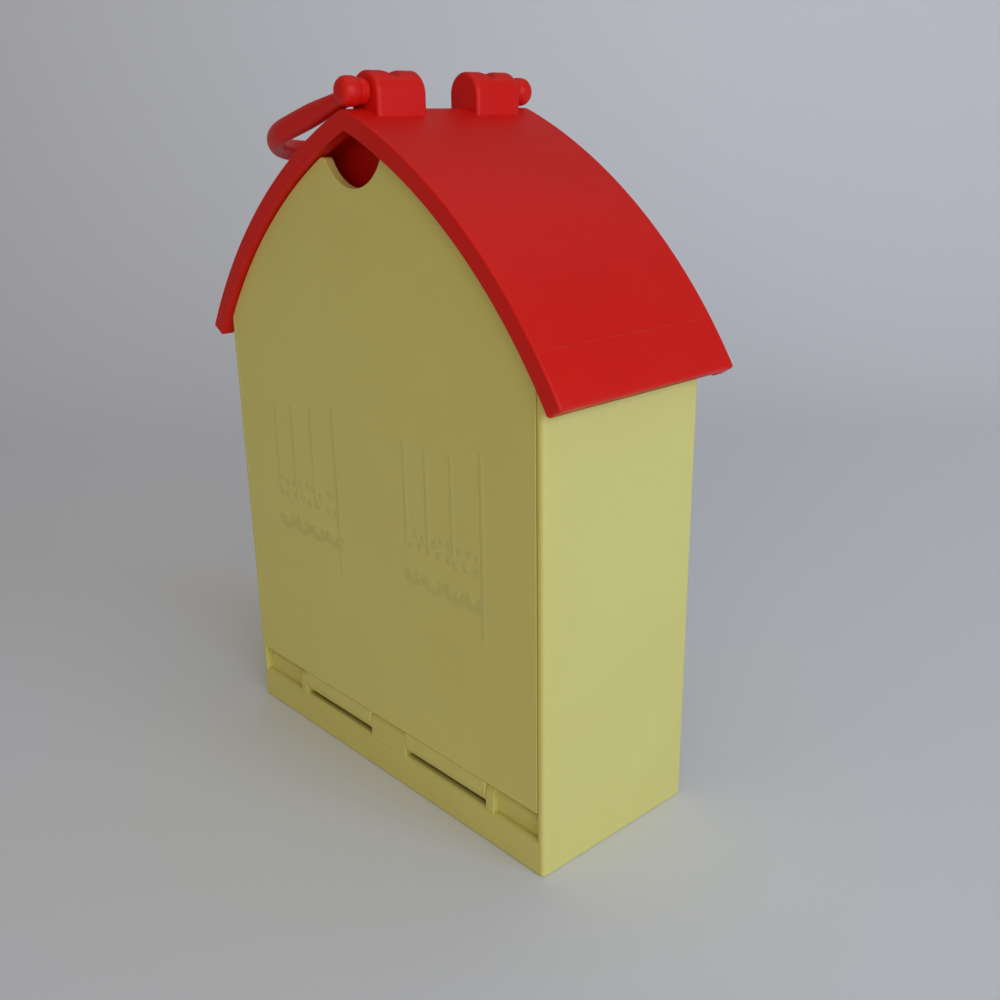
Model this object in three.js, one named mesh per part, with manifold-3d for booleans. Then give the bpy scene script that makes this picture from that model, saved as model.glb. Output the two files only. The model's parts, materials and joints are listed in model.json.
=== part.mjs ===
// Pocket toy house with a drop-down gable front and a folding carrying handle.
// Millimetres. X runs along the gable front, the front faces -Y, Z is up.
// The origin is on the floor, midway under the roof.

import * as THREE from 'three';
import { mergeVertices } from 'three/addons/utils/BufferGeometryUtils.js';
import Module from 'manifold-3d';

const wasm = await Module();
wasm.setup();

// Body
const bodyWidth = 100;
const bodyDepth = 41;
const wall = 1.7;
const backWall = 1.8;
const baseHeight = 7.0;
const floorPlate = 1.8;
const railLip = 0.4;
const railWall = 1.8;
const railRound = 0.8;
const cornerRound = 1.0;

// Roof, an ogive of two arcs that rise from the eaves and meet at the ridge
const eaveHeight = 93.2;
const eaveOverhang = 5.4;
const ridgeHeight = 139.0;
const roofRadius = 111.1;
const roofThickness = 2.3;
const rimThickness = 3.7;
const rimDepth = 3.0;
const frontOverhang = 1.5;
const backOverhang = 3.0;
const eaveRound = 0.6;
const ridgeRound = 4.5;
const roofGap = 0.3;

// Front panel
const panelThickness = 2.0;
const panelFootGap = 0.05;
const panelSideGap = 0.2;
const panelRimGap = 0.25;
const notchRadius = 9.8;
const notchDrop = 4.4;
const stopWidth = 1.3;
const stopDepth = 1.2;
const stopGap = 0.2;

// Hinge of the panel
const hingeFaceGap = 0.05;
const openPanelGap = 0.3;
const hingeShift = 1.6;
const barRadius = 1.6;
const hookGap = 0.25;
const hookWall = 1.0;
const hookStart = -50;
const hookEnd = 230;
const middleEarWidth = 12.0;
const slotWidth = 26.0;
const endEarWidth = 2.2;
const endRecessDepth = 1.3;
const earFaceGap = 0.1;
const earGap = 0.3;

// Finger wall behind the notch, and the tongues that seat the roof on the side walls
const fingerWall = 1.6;
const fingerSpace = 5.0;
const fingerWallDrop = 23.0;
const tongueThickness = 1.8;
const tongueLength = 20;
const tongueDrop = 14;
const tongueGap = 0.3;

// Ridge lugs and the handle
const lugHalfWidth = 4.2;
const lugArcDrop = 0.55;
const lugLength = 11.4;
const valleyRadius = 2.5;
const valleyDepth = 1.3;
const knuckleRidgeGap = 0.33;
const stubRadius = 2.0;
const stubReach = 4.0;
const boreGap = 0.1;
const stubEndGap = 0.3;
const knuckleRadius = 2.7;
const knuckleThickness = 4.6;
const knuckleRound = 1.5;
const knuckleGap = 1.1;
const knuckleStandOut = 0.55;
const bailRadius = 1.65;
const bailReach = 41.2;
const bailCorner = 19.0;
const bailInset = 2.5;
const bailDrop = 0.8;
const bailBowRadius = 1000;
const bailDroop = 13.6;
const gripHeight = 4.5;
const gripStart = 2;
const gripEnd = 15;

// Upper floor
const storeyHeight = 50.0;
const shelfThickness = 1.6;
const shelfGap = 0.3;
const ledgeWidth = 1.6;
const ledgeHeight = 1.6;

// Screws, their wells in the back wall and the bosses that they bite into
const screwRadius = 1.2;
const screwLength = 9.0;
const screwTip = 1.6;
const headRadius = 2.8;
const headHeight = 1.7;
const headRound = 0.5;
const crossWidth = 0.7;
const crossLength = 3.2;
const crossDepth = 0.9;
const wellRadius = 4.4;
const wellWall = 1.2;
const wellDepth = 4.2;
const wellWeb = 1.6;
const clearHoleGap = 0.4;
const pilotGap = 0.15;
const seatGap = 0.1;
const bossRadius = 3.2;
const bossLength = 10.0;
const bossGap = 0.3;
const bossRib = 2.0;
const roofScrewX = 20;
const roofScrewDrop = 24;
const shelfScrewX = 30;

// Facets
const arcSteps = 20;
const roundSteps = 4;
const roundSides = 32;

// How far a cut runs past the surface that it opens
const past = 5;

const sides = [-1, 1];

// Centre of the right-hand roof arc, through the eave and the ridge
const eaveX = bodyWidth / 2 + eaveOverhang;
const roofRise = ridgeHeight - eaveHeight;
const roofChord = Math.hypot(eaveX, roofRise);
const chordToCentre = Math.sqrt(roofRadius ** 2 - (roofChord / 2) ** 2);
const arcCentreX = chordToCentre * roofRise / roofChord - eaveX / 2;
const arcCentreZ = (eaveHeight + ridgeHeight) / 2 - chordToCentre * eaveX / roofChord;
const eaveAngle = THREE.MathUtils.radToDeg(Math.asin((eaveHeight - arcCentreZ) / roofRadius));
const crownRise = Math.acos(arcCentreX / (roofRadius - ridgeRound));
const crownCentreZ = arcCentreZ + (roofRadius - ridgeRound) * Math.sin(crownRise);

// Places worked out from the sizes
const roofHalfDepth = (bodyDepth + frontOverhang + backOverhang) / 2;
const frontY = frontOverhang - roofHalfDepth;
const backY = frontY + bodyDepth;
const insideX = bodyWidth / 2 - wall;
const insideBackY = backY - backWall;
const rimRadius = roofRadius - rimThickness;
const shellRadius = roofRadius - roofThickness;
const frontRimBackY = rimDepth - roofHalfDepth;
const panelBackY = frontY + panelThickness;
const hookInner = barRadius + hookGap;
const hookOuter = hookInner + hookWall;
const hingeSetBack = hookOuter + hingeFaceGap;
const hingeY = frontY + hingeSetBack;
const railHeight = baseHeight + railLip;
const hingeHeight = railHeight + openPanelGap + hingeSetBack;
const earRadius = hingeSetBack - earFaceGap;
const panelFoot = hingeHeight + hookOuter + panelFootGap;
const notchCentreZ = ridgeHeight - notchDrop;
const fingerWallFoot = ridgeHeight - fingerWallDrop;
const pivotHeight = crownCentreZ + ridgeRound + knuckleRidgeGap + knuckleRadius;
const lugArcZ = pivotHeight - lugArcDrop;
const knuckleOuterFace = roofHalfDepth + knuckleStandOut;
const knuckleInnerFace = knuckleOuterFace - knuckleThickness;
const lugOuterFace = knuckleInnerFace - knuckleGap;
const lugInnerFace = lugOuterFace - lugLength;
const roofScrewZ = ridgeHeight - roofScrewDrop;
const bailHalfWidth = knuckleOuterFace - bailInset;
const wellSeatY = backY - wellDepth;
const wellFrontY = wellSeatY - wellWeb;
const bossFaceY = wellFrontY - bossGap;
const bossEndY = bossFaceY - bossLength;
const shelfBossZ = storeyHeight - shelfThickness - bossRadius;

const yellow = { color: 0xe6df8f, roughness: 0.42, metalness: 0 };
const red = { color: 0xd6202a, roughness: 0.38, metalness: 0 };
const steel = { color: 0x9fa3a8, roughness: 0.35, metalness: 1 };

function radians(degrees) {
  return THREE.MathUtils.degToRad(degrees);
}

// A closed solid from a three.js geometry
function solid(geometry) {
  const bare = geometry.clone();
  bare.deleteAttribute('normal');
  bare.deleteAttribute('uv');
  const merged = mergeVertices(bare, 1e-5);
  return new wasm.Manifold(new wasm.Mesh({
    numProp: 3,
    vertProperties: new Float32Array(merged.attributes.position.array),
    triVerts: new Uint32Array(merged.index.array),
  }));
}

function add(solids) {
  return solids.reduce((whole, piece) => whole.add(piece));
}

function box(x0, x1, y0, y1, z0, z1) {
  const geometry = new THREE.BoxGeometry(x1 - x0, y1 - y0, z1 - z0);
  geometry.translate((x0 + x1) / 2, (y0 + y1) / 2, (z0 + z1) / 2);
  return solid(geometry);
}

function prism(points, length, basis) {
  const shape = new THREE.Shape(points);
  const geometry = new THREE.ExtrudeGeometry(shape, { depth: length, bevelEnabled: false });
  geometry.applyMatrix4(basis);
  return solid(geometry);
}

// Outline in X and Z, run along Y from y0 to y1
function prismY(points, y0, y1) {
  const basis = new THREE.Matrix4().makeRotationX(Math.PI / 2).setPosition(0, y1, 0);
  return prism(points, y1 - y0, basis);
}

// Outline in Y and Z, run along X from x0 to x1
function prismX(points, x0, x1) {
  const basis = new THREE.Matrix4().set(0, 0, 1, x0, 1, 0, 0, 0, 0, 1, 0, 0, 0, 0, 0, 1);
  return prism(points, x1 - x0, basis);
}

// Outline in X and Y, run along Z from z0 to z1
function prismZ(points, z0, z1) {
  const basis = new THREE.Matrix4().makeTranslation(0, 0, z0);
  return prism(points, z1 - z0, basis);
}

function rodY(radius, x, z, y0, y1) {
  const geometry = new THREE.CylinderGeometry(radius, radius, y1 - y0, roundSides);
  geometry.translate(x, (y0 + y1) / 2, z);
  return solid(geometry);
}

function rodX(radius, y, z, x0, x1) {
  const geometry = new THREE.CylinderGeometry(radius, radius, x1 - x0, roundSides);
  geometry.rotateZ(Math.PI / 2);
  geometry.translate((x0 + x1) / 2, y, z);
  return solid(geometry);
}

// Points on an arc, from one angle to another in degrees
function arc(cx, cz, radius, from, to, steps) {
  const points = [];
  for (let i = 0; i <= steps; i += 1) {
    const angle = radians(from + (to - from) * i / steps);
    points.push(new THREE.Vector2(cx + radius * Math.cos(angle), cz + radius * Math.sin(angle)));
  }
  return points;
}

// Angle, at the centre of the right-hand arc, of the point of that arc at the given X
function arcAngleAt(radius, x) {
  return THREE.MathUtils.radToDeg(Math.acos((x + arcCentreX) / radius));
}

// Height of the right-hand arc at the given X
function arcHeightAt(radius, x) {
  return arcCentreZ + Math.sqrt(radius ** 2 - (x + arcCentreX) ** 2);
}

function mirrored(points) {
  return points.map((p) => new THREE.Vector2(-p.x, p.y)).reverse();
}

// The two arcs, from the right-hand side over the ridge to the left-hand side
function arch(halfWidth, radius) {
  const side = arcAngleAt(radius, halfWidth);
  const ridge = arcAngleAt(radius, 0);
  const right = arc(-arcCentreX, arcCentreZ, radius, side, ridge, arcSteps);
  return [...right, ...mirrored(right).slice(1)];
}

// Gable outline: straight sides up from the foot, then the arch
function gable(halfWidth, foot, radius) {
  return [
    new THREE.Vector2(-halfWidth, foot),
    new THREE.Vector2(halfWidth, foot),
    ...arch(halfWidth, radius),
  ];
}

function roundedRectangle(x0, x1, y0, y1, r) {
  return [
    ...arc(x1 - r, y1 - r, r, 0, 90, roundSteps),
    ...arc(x0 + r, y1 - r, r, 90, 180, roundSteps),
    ...arc(x0 + r, y0 + r, r, 180, 270, roundSteps),
    ...arc(x1 - r, y0 + r, r, 270, 360, roundSteps),
  ];
}

// The stretch from near to far on the given side of the middle, lower end first
function span(side, near, far) {
  return side > 0 ? [near, far] : [-far, -near];
}

// Walls, floor plate and hollow base
function bodyWalls() {
  const half = bodyWidth / 2;
  const underRim = gable(half, 0, rimRadius - roofGap);
  const underShell = gable(half, 0, shellRadius - roofGap);
  const stepY = frontRimBackY + roofGap;
  const block = prismY(underShell, stepY, backY).add(prismY(underRim, frontY, stepY));
  const plan = prismZ(roundedRectangle(-half, half, frontY, backY, cornerRound), 0, roofRadius * 2);
  const room = box(-insideX, insideX, frontY - past, insideBackY, baseHeight, roofRadius * 2);
  const hollow = box(-insideX, insideX, frontY + railWall, insideBackY, -past, baseHeight - floorPlate);
  return block.intersect(plan).subtract(room).subtract(hollow);
}

// Low wall along the front edge, with a rounded top edge
function rail() {
  const outline = [
    new THREE.Vector2(frontY, baseHeight - floorPlate),
    new THREE.Vector2(frontY + railWall, baseHeight - floorPlate),
    new THREE.Vector2(frontY + railWall, railHeight),
    ...arc(frontY + railRound, railHeight - railRound, railRound, 90, 180, roundSteps),
  ];
  return prismX(outline, -insideX, insideX);
}

// Round-topped ear that carries the hinge bar, standing on the floor plate
function ear(x0, x1, radius = earRadius) {
  const foot = baseHeight - floorPlate / 2;
  const outline = [
    ...arc(hingeY, hingeHeight, radius, 0, 180, roundSides / 2),
    new THREE.Vector2(hingeY - radius, foot),
    new THREE.Vector2(hingeY + radius, foot),
  ];
  return prismX(outline, x0, x1);
}

function hingeBar() {
  const slotIn = middleEarWidth / 2;
  const slotOut = slotIn + slotWidth;
  const end = slotOut + endEarWidth;
  const setBack = earRadius - endRecessDepth;
  const insideWall = insideX + wall / 2;
  return add([
    ear(hingeShift + end - endEarWidth / 2, insideWall, setBack),
    ear(-insideWall, hingeShift - end + endEarWidth / 2, setBack),
    ear(hingeShift - slotIn, hingeShift + slotIn),
    ear(hingeShift + slotOut, hingeShift + end),
    ear(hingeShift - end, hingeShift - slotOut),
    rodX(barRadius, hingeY, hingeHeight, hingeShift - slotOut - endEarWidth / 2,
      hingeShift + slotOut + endEarWidth / 2),
  ]);
}

// Upright on the side wall that the closed panel's edge comes to rest against
function panelStop(side) {
  const y0 = panelBackY + stopGap;
  const top = arcHeightAt(shellRadius - roofGap, insideX) - stopWidth;
  return box(...span(side, insideX - stopWidth, insideX + wall / 2), y0, y0 + stopDepth, panelFoot, top);
}

// Ledge on the side wall that carries the upper floor
function shelfLedge(side) {
  const top = storeyHeight - shelfThickness - shelfGap;
  const y0 = panelBackY + stopGap;
  const y1 = insideBackY + backWall / 2;
  return box(...span(side, insideX - ledgeWidth, insideX + wall / 2), y0, y1, top - ledgeHeight, top);
}

// Sunk well in the back wall for a screw head
function wellBlock(x, z) {
  return rodY(wellRadius, x, z, wellFrontY, insideBackY + backWall / 2);
}

function wellCut(x, z) {
  const sink = rodY(wellRadius - wellWall, x, z, wellSeatY, backY + past);
  return sink.add(rodY(screwRadius + clearHoleGap, x, z, wellFrontY - past, backY));
}

const screwPlaces = [
  { name: 'roof_screw_left', x: -roofScrewX, z: roofScrewZ },
  { name: 'roof_screw_right', x: roofScrewX, z: roofScrewZ },
  { name: 'floor_screw_left', x: -shelfScrewX, z: shelfBossZ },
  { name: 'floor_screw_right', x: shelfScrewX, z: shelfBossZ },
];

function houseBody() {
  const blocks = screwPlaces.map((place) => wellBlock(place.x, place.z));
  const cuts = screwPlaces.map((place) => wellCut(place.x, place.z));
  const ribs = sides.flatMap((side) => [panelStop(side), shelfLedge(side)]);
  return add([bodyWalls(), rail(), hingeBar(), ...ribs, ...blocks]).subtract(add(cuts));
}

// C-shaped hook that snaps over the bar from above, with a web that carries the panel's face down to it
function hook(x0, x1) {
  const steps = roundSides * 3 / 4;
  const outline = [
    ...arc(hingeY, hingeHeight, hookOuter, hookStart, hookEnd, steps),
    ...arc(hingeY, hingeHeight, hookInner, hookEnd, hookStart, steps),
  ];
  const insideHook = hookInner + hookWall / 3;
  const front = hingeY - hookOuter;
  const back = hingeY + hookWall / 2;
  const web = [
    new THREE.Vector2(front, hingeHeight),
    ...arc(hingeY, hingeHeight, insideHook, 180, 90, steps / 4),
    new THREE.Vector2(back, hingeHeight + insideHook),
    new THREE.Vector2(back, panelFoot),
    new THREE.Vector2(panelBackY, panelFoot + panelThickness),
    new THREE.Vector2(front, panelFoot + panelThickness),
  ];
  return prismX(outline, x0, x1).add(prismX(web, x0, x1));
}

function frontPanel() {
  const outline = gable(insideX - panelSideGap, panelFoot, rimRadius - panelRimGap);
  const plate = prismY(outline, frontY, panelBackY);
  const notch = rodY(notchRadius, 0, notchCentreZ, frontY - past, panelBackY + past);
  const inner = middleEarWidth / 2 + earGap;
  const outer = middleEarWidth / 2 + slotWidth - earGap;
  return add([
    plate.subtract(notch),
    hook(hingeShift + inner, hingeShift + outer),
    hook(hingeShift - outer, hingeShift - inner),
  ]);
}

// Band between the roof's outer arcs and an inner radius, cut square at the eaves
function roofBand(innerRadius) {
  const crownTurn = THREE.MathUtils.radToDeg(crownRise);
  const roundTurn = THREE.MathUtils.radToDeg(eaveRound / roofRadius);
  const cut = eaveAngle - roundTurn;
  const outer = arc(-arcCentreX, arcCentreZ, roofRadius, eaveAngle, crownTurn, arcSteps);
  const crown = arc(0, crownCentreZ, ridgeRound, crownTurn, 90, roundSteps).slice(1);
  const innerRidge = arcAngleAt(innerRadius, 0);
  const inner = arc(-arcCentreX, arcCentreZ, innerRadius, innerRidge, eaveAngle, arcSteps);
  const tipOut = onEave(roofRadius - eaveRound, cut);
  const tipIn = onEave(innerRadius + eaveRound, cut);
  const rightOuter = [tipOut, ...outer, ...crown];
  const rightInner = [...inner, tipIn];
  return [
    ...rightOuter,
    ...mirrored(rightOuter).slice(1),
    ...mirrored(rightInner),
    ...rightInner.slice(1),
  ];
}

function onEave(radius, angle) {
  return arc(-arcCentreX, arcCentreZ, radius, angle, angle, 1)[0];
}

// Lug on the ridge: a round-topped block with a valley across it and a blind bore
function lug(side) {
  const outline = [
    ...arc(0, lugArcZ, lugHalfWidth, 0, 180, roundSides / 2),
    new THREE.Vector2(-lugHalfWidth, lugFootZ()),
    new THREE.Vector2(lugHalfWidth, lugFootZ()),
  ];
  const valleyY = side * (lugInnerFace + lugOuterFace) / 2;
  const valleyZ = lugArcZ + lugHalfWidth - valleyDepth + valleyRadius;
  const valley = rodX(valleyRadius, valleyY, valleyZ, -lugHalfWidth - past, lugHalfWidth + past);
  const boreEnd = lugOuterFace - stubReach - stubEndGap;
  const bore = rodY(stubRadius + boreGap, 0, pivotHeight, ...span(side, boreEnd, lugOuterFace + past));
  return prismY(outline, ...span(side, lugInnerFace, lugOuterFace)).subtract(valley).subtract(bore);
}

// Foot of a lug, inside the roof's thickness at the lug's sides
function lugFootZ() {
  return arcHeightAt(roofRadius - roofThickness / 2, lugHalfWidth);
}

// Screw boss under the roof, hung on a rib
function roofBoss(x) {
  const top = arcHeightAt(roofRadius - roofThickness / 2, Math.abs(x) + bossRib / 2);
  const rib = box(x - bossRib / 2, x + bossRib / 2, bossEndY, bossFaceY, roofScrewZ, top);
  const boss = rodY(bossRadius, x, roofScrewZ, bossEndY, bossFaceY);
  const pilot = rodY(screwRadius + pilotGap, x, roofScrewZ, bossEndY + bossRib / 2, bossFaceY + past);
  return boss.add(rib).subtract(pilot);
}

// Wall behind the finger notch, from the roof down to its straight foot
function fingerBulkhead() {
  const y0 = panelBackY + fingerSpace;
  const radius = roofRadius - roofThickness / 2;
  const halfWidth = Math.sqrt(radius ** 2 - (fingerWallFoot - arcCentreZ) ** 2) - arcCentreX;
  return prismY(arch(halfWidth, radius), y0, y0 + fingerWall);
}

// Tongue that reaches down inside the side wall
function roofTongue(side) {
  const outer = insideX - tongueGap;
  const top = arcHeightAt(roofRadius - roofThickness / 2, outer);
  return box(...span(side, outer - tongueThickness, outer), -tongueLength / 2, tongueLength / 2,
    top - tongueDrop, top);
}

function roofShell() {
  const frontRim = prismY(roofBand(rimRadius), -roofHalfDepth, frontRimBackY);
  const backRim = prismY(roofBand(rimRadius), backY + roofGap, roofHalfDepth);
  const shell = prismY(roofBand(shellRadius), -roofHalfDepth, roofHalfDepth);
  const fittings = sides.flatMap((side) => [lug(side), roofTongue(side), roofBoss(side * roofScrewX)]);
  return add([shell, frontRim, backRim, fingerBulkhead(), ...fittings]);
}

// Centre line of the handle's bar: out along one leg, across and back along the other. The legs leave
// the knuckles a little below the pivot and bend down over the curve of the roof.
class BailCurve extends THREE.Curve {
  getPoint(t, target = new THREE.Vector3()) {
    const leg = bailReach - bailCorner;
    const bend = bailCorner * Math.PI / 2;
    const across = bailHalfWidth - bailCorner;
    const along = (t < 0.5 ? t : 1 - t) * 2 * (leg + bend + across);
    const side = t < 0.5 ? 1 : -1;
    const turn = THREE.MathUtils.clamp((along - leg) / bailCorner, 0, Math.PI / 2);
    const out = Math.min(along, leg) + bailCorner * Math.sin(turn);
    const inward = Math.max(along - leg - bend, 0) + bailCorner * (1 - Math.cos(turn));
    return target.set(-out, side * (bailHalfWidth - inward), -bailDrop - out ** 2 / (2 * bailBowRadius));
  }
}

// Round knuckle at the end of a leg, with the stub that turns in the lug's bore
function knuckle(side) {
  const profile = [
    new THREE.Vector2(0, knuckleInnerFace),
    ...arc(knuckleRadius - knuckleRound, knuckleInnerFace + knuckleRound, knuckleRound, -90, 0, roundSteps),
    ...arc(knuckleRadius - knuckleRound, knuckleOuterFace - knuckleRound, knuckleRound, 0, 90, roundSteps),
    new THREE.Vector2(0, knuckleOuterFace),
  ];
  const disc = new THREE.LatheGeometry(profile, roundSides);
  disc.rotateX(side > 0 ? 0 : Math.PI);
  const stubRoot = knuckleInnerFace + knuckleRound;
  const stub = rodY(stubRadius, 0, 0, ...span(side, lugOuterFace - stubReach, stubRoot));
  return solid(disc).add(stub);
}

// Bar along the centre line, round at the knuckles and drawn out in height into an oval grip
function bailBar() {
  const section = new THREE.Shape(arc(0, 0, bailRadius, 0, 330, 11));
  const bar = new THREE.ExtrudeGeometry(section, {
    steps: 64,
    bevelEnabled: false,
    extrudePath: new BailCurve(),
  });
  const spots = bar.getAttribute('position');
  for (let i = 0; i < spots.count; i += 1) {
    const x = spots.getX(i);
    const middle = -bailDrop - x ** 2 / (2 * bailBowRadius);
    const share = THREE.MathUtils.smoothstep(-x, gripStart, gripEnd);
    const stretch = THREE.MathUtils.lerp(1, gripHeight / (2 * bailRadius), share);
    spots.setZ(i, middle + (spots.getZ(i) - middle) * stretch);
  }
  return solid(bar);
}

function carryHandle() {
  return add([bailBar(), ...sides.map(knuckle)]);
}

// Shelf of the upper storey, with two bosses under its back edge
function upperFloor() {
  const halfWidth = insideX - shelfGap;
  const frontEdge = panelBackY + stopGap + stopDepth + shelfGap;
  const under = storeyHeight - shelfThickness;
  const plate = box(-halfWidth, halfWidth, frontEdge, insideBackY - shelfGap, under, storeyHeight);
  return sides.map((side) => side * shelfScrewX).reduce((shelf, x) => {
    const boss = rodY(bossRadius, x, shelfBossZ, bossEndY, bossFaceY);
    const neckTop = under + shelfThickness / 2;
    const neck = box(x - bossRadius, x + bossRadius, bossEndY, bossFaceY, shelfBossZ, neckTop);
    const pilot = rodY(screwRadius + pilotGap, x, shelfBossZ, bossEndY + bossRib / 2, bossFaceY + past);
    const wellRoom = rodY(wellRadius + shelfGap, x, shelfBossZ, bossFaceY, backY);
    return shelf.add(boss).add(neck).subtract(pilot).subtract(wellRoom);
  }, plate);
}

// Self-tapping screw along Y, its head towards +Y, seated in the well
function screw() {
  const seat = wellSeatY + seatGap;
  const tip = seat - screwLength;
  const profile = [
    new THREE.Vector2(0, tip),
    new THREE.Vector2(screwRadius, tip + screwTip),
    new THREE.Vector2(screwRadius, seat),
    new THREE.Vector2(headRadius, seat),
    ...arc(headRadius - headRound, seat + headHeight - headRound, headRound, 0, 90, roundSteps),
    new THREE.Vector2(0, seat + headHeight),
  ];
  const body = solid(new THREE.LatheGeometry(profile, roundSides / 2));
  const y0 = seat + headHeight - crossDepth;
  const y1 = y0 + past;
  const long = crossLength / 2;
  const thin = crossWidth / 2;
  return body.subtract(box(-long, long, y0, y1, -thin, thin)).subtract(box(-thin, thin, y0, y1, -long, long));
}

// A named mesh from a solid
function piece(name, manifold, look) {
  const data = manifold.getMesh();
  const geometry = new THREE.BufferGeometry();
  geometry.setAttribute('position', new THREE.BufferAttribute(data.vertProperties, 3));
  geometry.setIndex(new THREE.BufferAttribute(data.triVerts, 1));
  geometry.computeVertexNormals();
  const mesh = new THREE.Mesh(geometry, new THREE.MeshStandardMaterial(look));
  mesh.name = name;
  return mesh;
}

const group = new THREE.Group();
group.add(piece('house_body', houseBody(), yellow));
group.add(piece('front_panel', frontPanel(), yellow));
group.add(piece('roof_shell', roofShell(), red));
group.add(piece('upper_floor', upperFloor(), yellow));

const handle = piece('carry_handle', carryHandle(), red);
handle.position.z = pivotHeight;
handle.rotation.y = -radians(bailDroop);
group.add(handle);

for (const place of screwPlaces) {
  const fastener = piece(place.name, screw(), steel);
  fastener.position.set(place.x, 0, place.z);
  group.add(fastener);
}

export default group;
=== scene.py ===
# %% [markdown]
# This file dresses a pocket toy house for its picture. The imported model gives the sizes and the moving
# bodies, and the pieces here are the same mouldings with the soft edges, the faint raised drawings and
# the plastics that the real ones have. Lengths are in millimetres until a piece is finished, because
# small parts are easier to think about that way, and they are scaled to metres at the end.

import json
import math
import random

import bmesh
import bpy
import numpy as np
from mathutils import Matrix, Vector


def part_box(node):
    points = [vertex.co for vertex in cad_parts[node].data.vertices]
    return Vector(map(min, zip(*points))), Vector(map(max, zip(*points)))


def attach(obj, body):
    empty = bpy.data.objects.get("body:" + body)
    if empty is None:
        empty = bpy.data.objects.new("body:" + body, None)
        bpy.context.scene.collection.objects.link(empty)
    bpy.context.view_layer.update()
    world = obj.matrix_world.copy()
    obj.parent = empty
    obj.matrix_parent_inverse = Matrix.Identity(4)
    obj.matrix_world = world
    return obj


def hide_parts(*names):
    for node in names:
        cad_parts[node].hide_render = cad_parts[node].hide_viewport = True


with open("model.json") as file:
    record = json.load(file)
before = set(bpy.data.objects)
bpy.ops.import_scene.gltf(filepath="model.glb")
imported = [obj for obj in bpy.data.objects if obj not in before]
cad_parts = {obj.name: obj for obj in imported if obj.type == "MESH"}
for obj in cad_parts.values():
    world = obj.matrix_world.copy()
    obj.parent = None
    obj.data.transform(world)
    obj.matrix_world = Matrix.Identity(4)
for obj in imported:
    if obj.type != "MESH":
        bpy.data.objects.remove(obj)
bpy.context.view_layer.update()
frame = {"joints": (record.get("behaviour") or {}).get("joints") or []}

# %% [markdown]
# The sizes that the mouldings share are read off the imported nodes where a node's box gives them, and
# the rest are the moulder's own: wall thicknesses, edge radii and small gaps. A cutter reaches PAST what
# it cuts, and a part that is fused to another reaches SUNK into it.

# %% Shared sizes
METRE = 1000.0
PAST = 5.0
SUNK = 1.0


def node_box(name):
    low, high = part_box(name)
    return low * METRE, high * METRE


body_low, body_high = node_box("house_body")
shelf_low, shelf_high = node_box("upper_floor")

HALF_WIDTH = body_high.x
FRONT_Y = body_low.y
BACK_Y = body_high.y
ROOF_HALF_DEPTH = node_box("roof_shell")[1].y
EAVE_X = 55.4
EAVE_Z = 93.2
RIDGE_Z = 139.0
ROOF_RADIUS = 111.1
ROOF_THICKNESS = 2.3
RIM_THICKNESS = 3.7
RIM_DEPTH = 3.0
RIDGE_ROUND = 4.5
ROOF_GAP = 0.3
WALL = 1.7
BACK_WALL = 1.8
INSIDE_X = HALF_WIDTH - WALL
INSIDE_BACK_Y = BACK_Y - BACK_WALL
BASE_HEIGHT = 7.0
FLOOR_PLATE = 1.8
PANEL_THICKNESS = 2.0
PANEL_BACK_Y = FRONT_Y + PANEL_THICKNESS
PANEL_FOOT = 13.5
HINGE_Y = -18.35
HINGE_Z = 10.6
HINGE_SHIFT = 1.6
SHELF_THICKNESS = 1.6
SHELF_GAP = 0.3
PIVOT_Z = METRE * frame["joints"][1]["pos_m"][2]
print("pivot", round(PIVOT_Z, 3), "body", body_low, body_high)

# %% [markdown]
# Nearly every moulding here is an outline that was pushed through a thickness, with its edges eased so
# that it lets go of the mould. A ring of points is moved inwards step by step near each end, and the
# rings are joined to a closed skin. That gives true rounded edges, where a plain extrusion would look
# like cut card.

# %% Outlines and lofted solids
EASE_STEPS = 4


def arc(cx, cy, radius, start, stop, steps=8):
    turns = np.radians(np.linspace(start, stop, steps + 1))
    return [(cx + radius * math.cos(t), cy + radius * math.sin(t)) for t in turns]


def circle(cx, cy, radius, sides):
    """A closed ring of points, its first point not repeated."""
    return arc(cx, cy, radius, 0, 360, sides)[:-1]


def inset(outline, depth):
    """A closed counter-clockwise outline, moved inwards by depth."""
    points = np.array(outline, float)
    along = np.roll(points, -1, axis=0) - points
    along /= np.linalg.norm(along, axis=1)[:, None]
    inward = np.stack([-along[:, 1], along[:, 0]], axis=1)
    before = np.roll(inward, 1, axis=0)
    mitre = (inward + before) / (1 + (inward * before).sum(axis=1))[:, None]
    return (points + depth * mitre).tolist()


def new_object(name, data):
    obj = bpy.data.objects.new(name, data)
    bpy.context.scene.collection.objects.link(obj)
    return obj


def loft(rings, name="loft"):
    """A closed solid through rings of equally many points."""
    shape = bmesh.new()
    layers = [[shape.verts.new(point) for point in ring] for ring in rings]
    for low, high in zip(layers, layers[1:]):
        for i, vertex in enumerate(low):
            j = (i + 1) % len(low)
            shape.faces.new((vertex, low[j], high[j], high[i]))
    shape.faces.new(layers[0])
    shape.faces.new(layers[-1])
    bmesh.ops.recalc_face_normals(shape, faces=shape.faces)
    mesh = bpy.data.meshes.new(name)
    shape.to_mesh(mesh)
    shape.free()
    return new_object(name, mesh)


def eased_stations(low, high, low_round, high_round):
    """Places along a thickness, each with how far the outline is drawn in there."""
    turns = [math.radians(90 * k / EASE_STEPS) for k in range(EASE_STEPS + 1)]
    shares = [(1 - math.sin(t), 1 - math.cos(t)) for t in turns]
    start = [(low + low_round * up, low_round * inwards) for up, inwards in reversed(shares)]
    stop = [(high - high_round * down, high_round * inwards) for down, inwards in shares]
    return (start if low_round else [(low, 0.0)]) + (stop if high_round else [(high, 0.0)])


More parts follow.
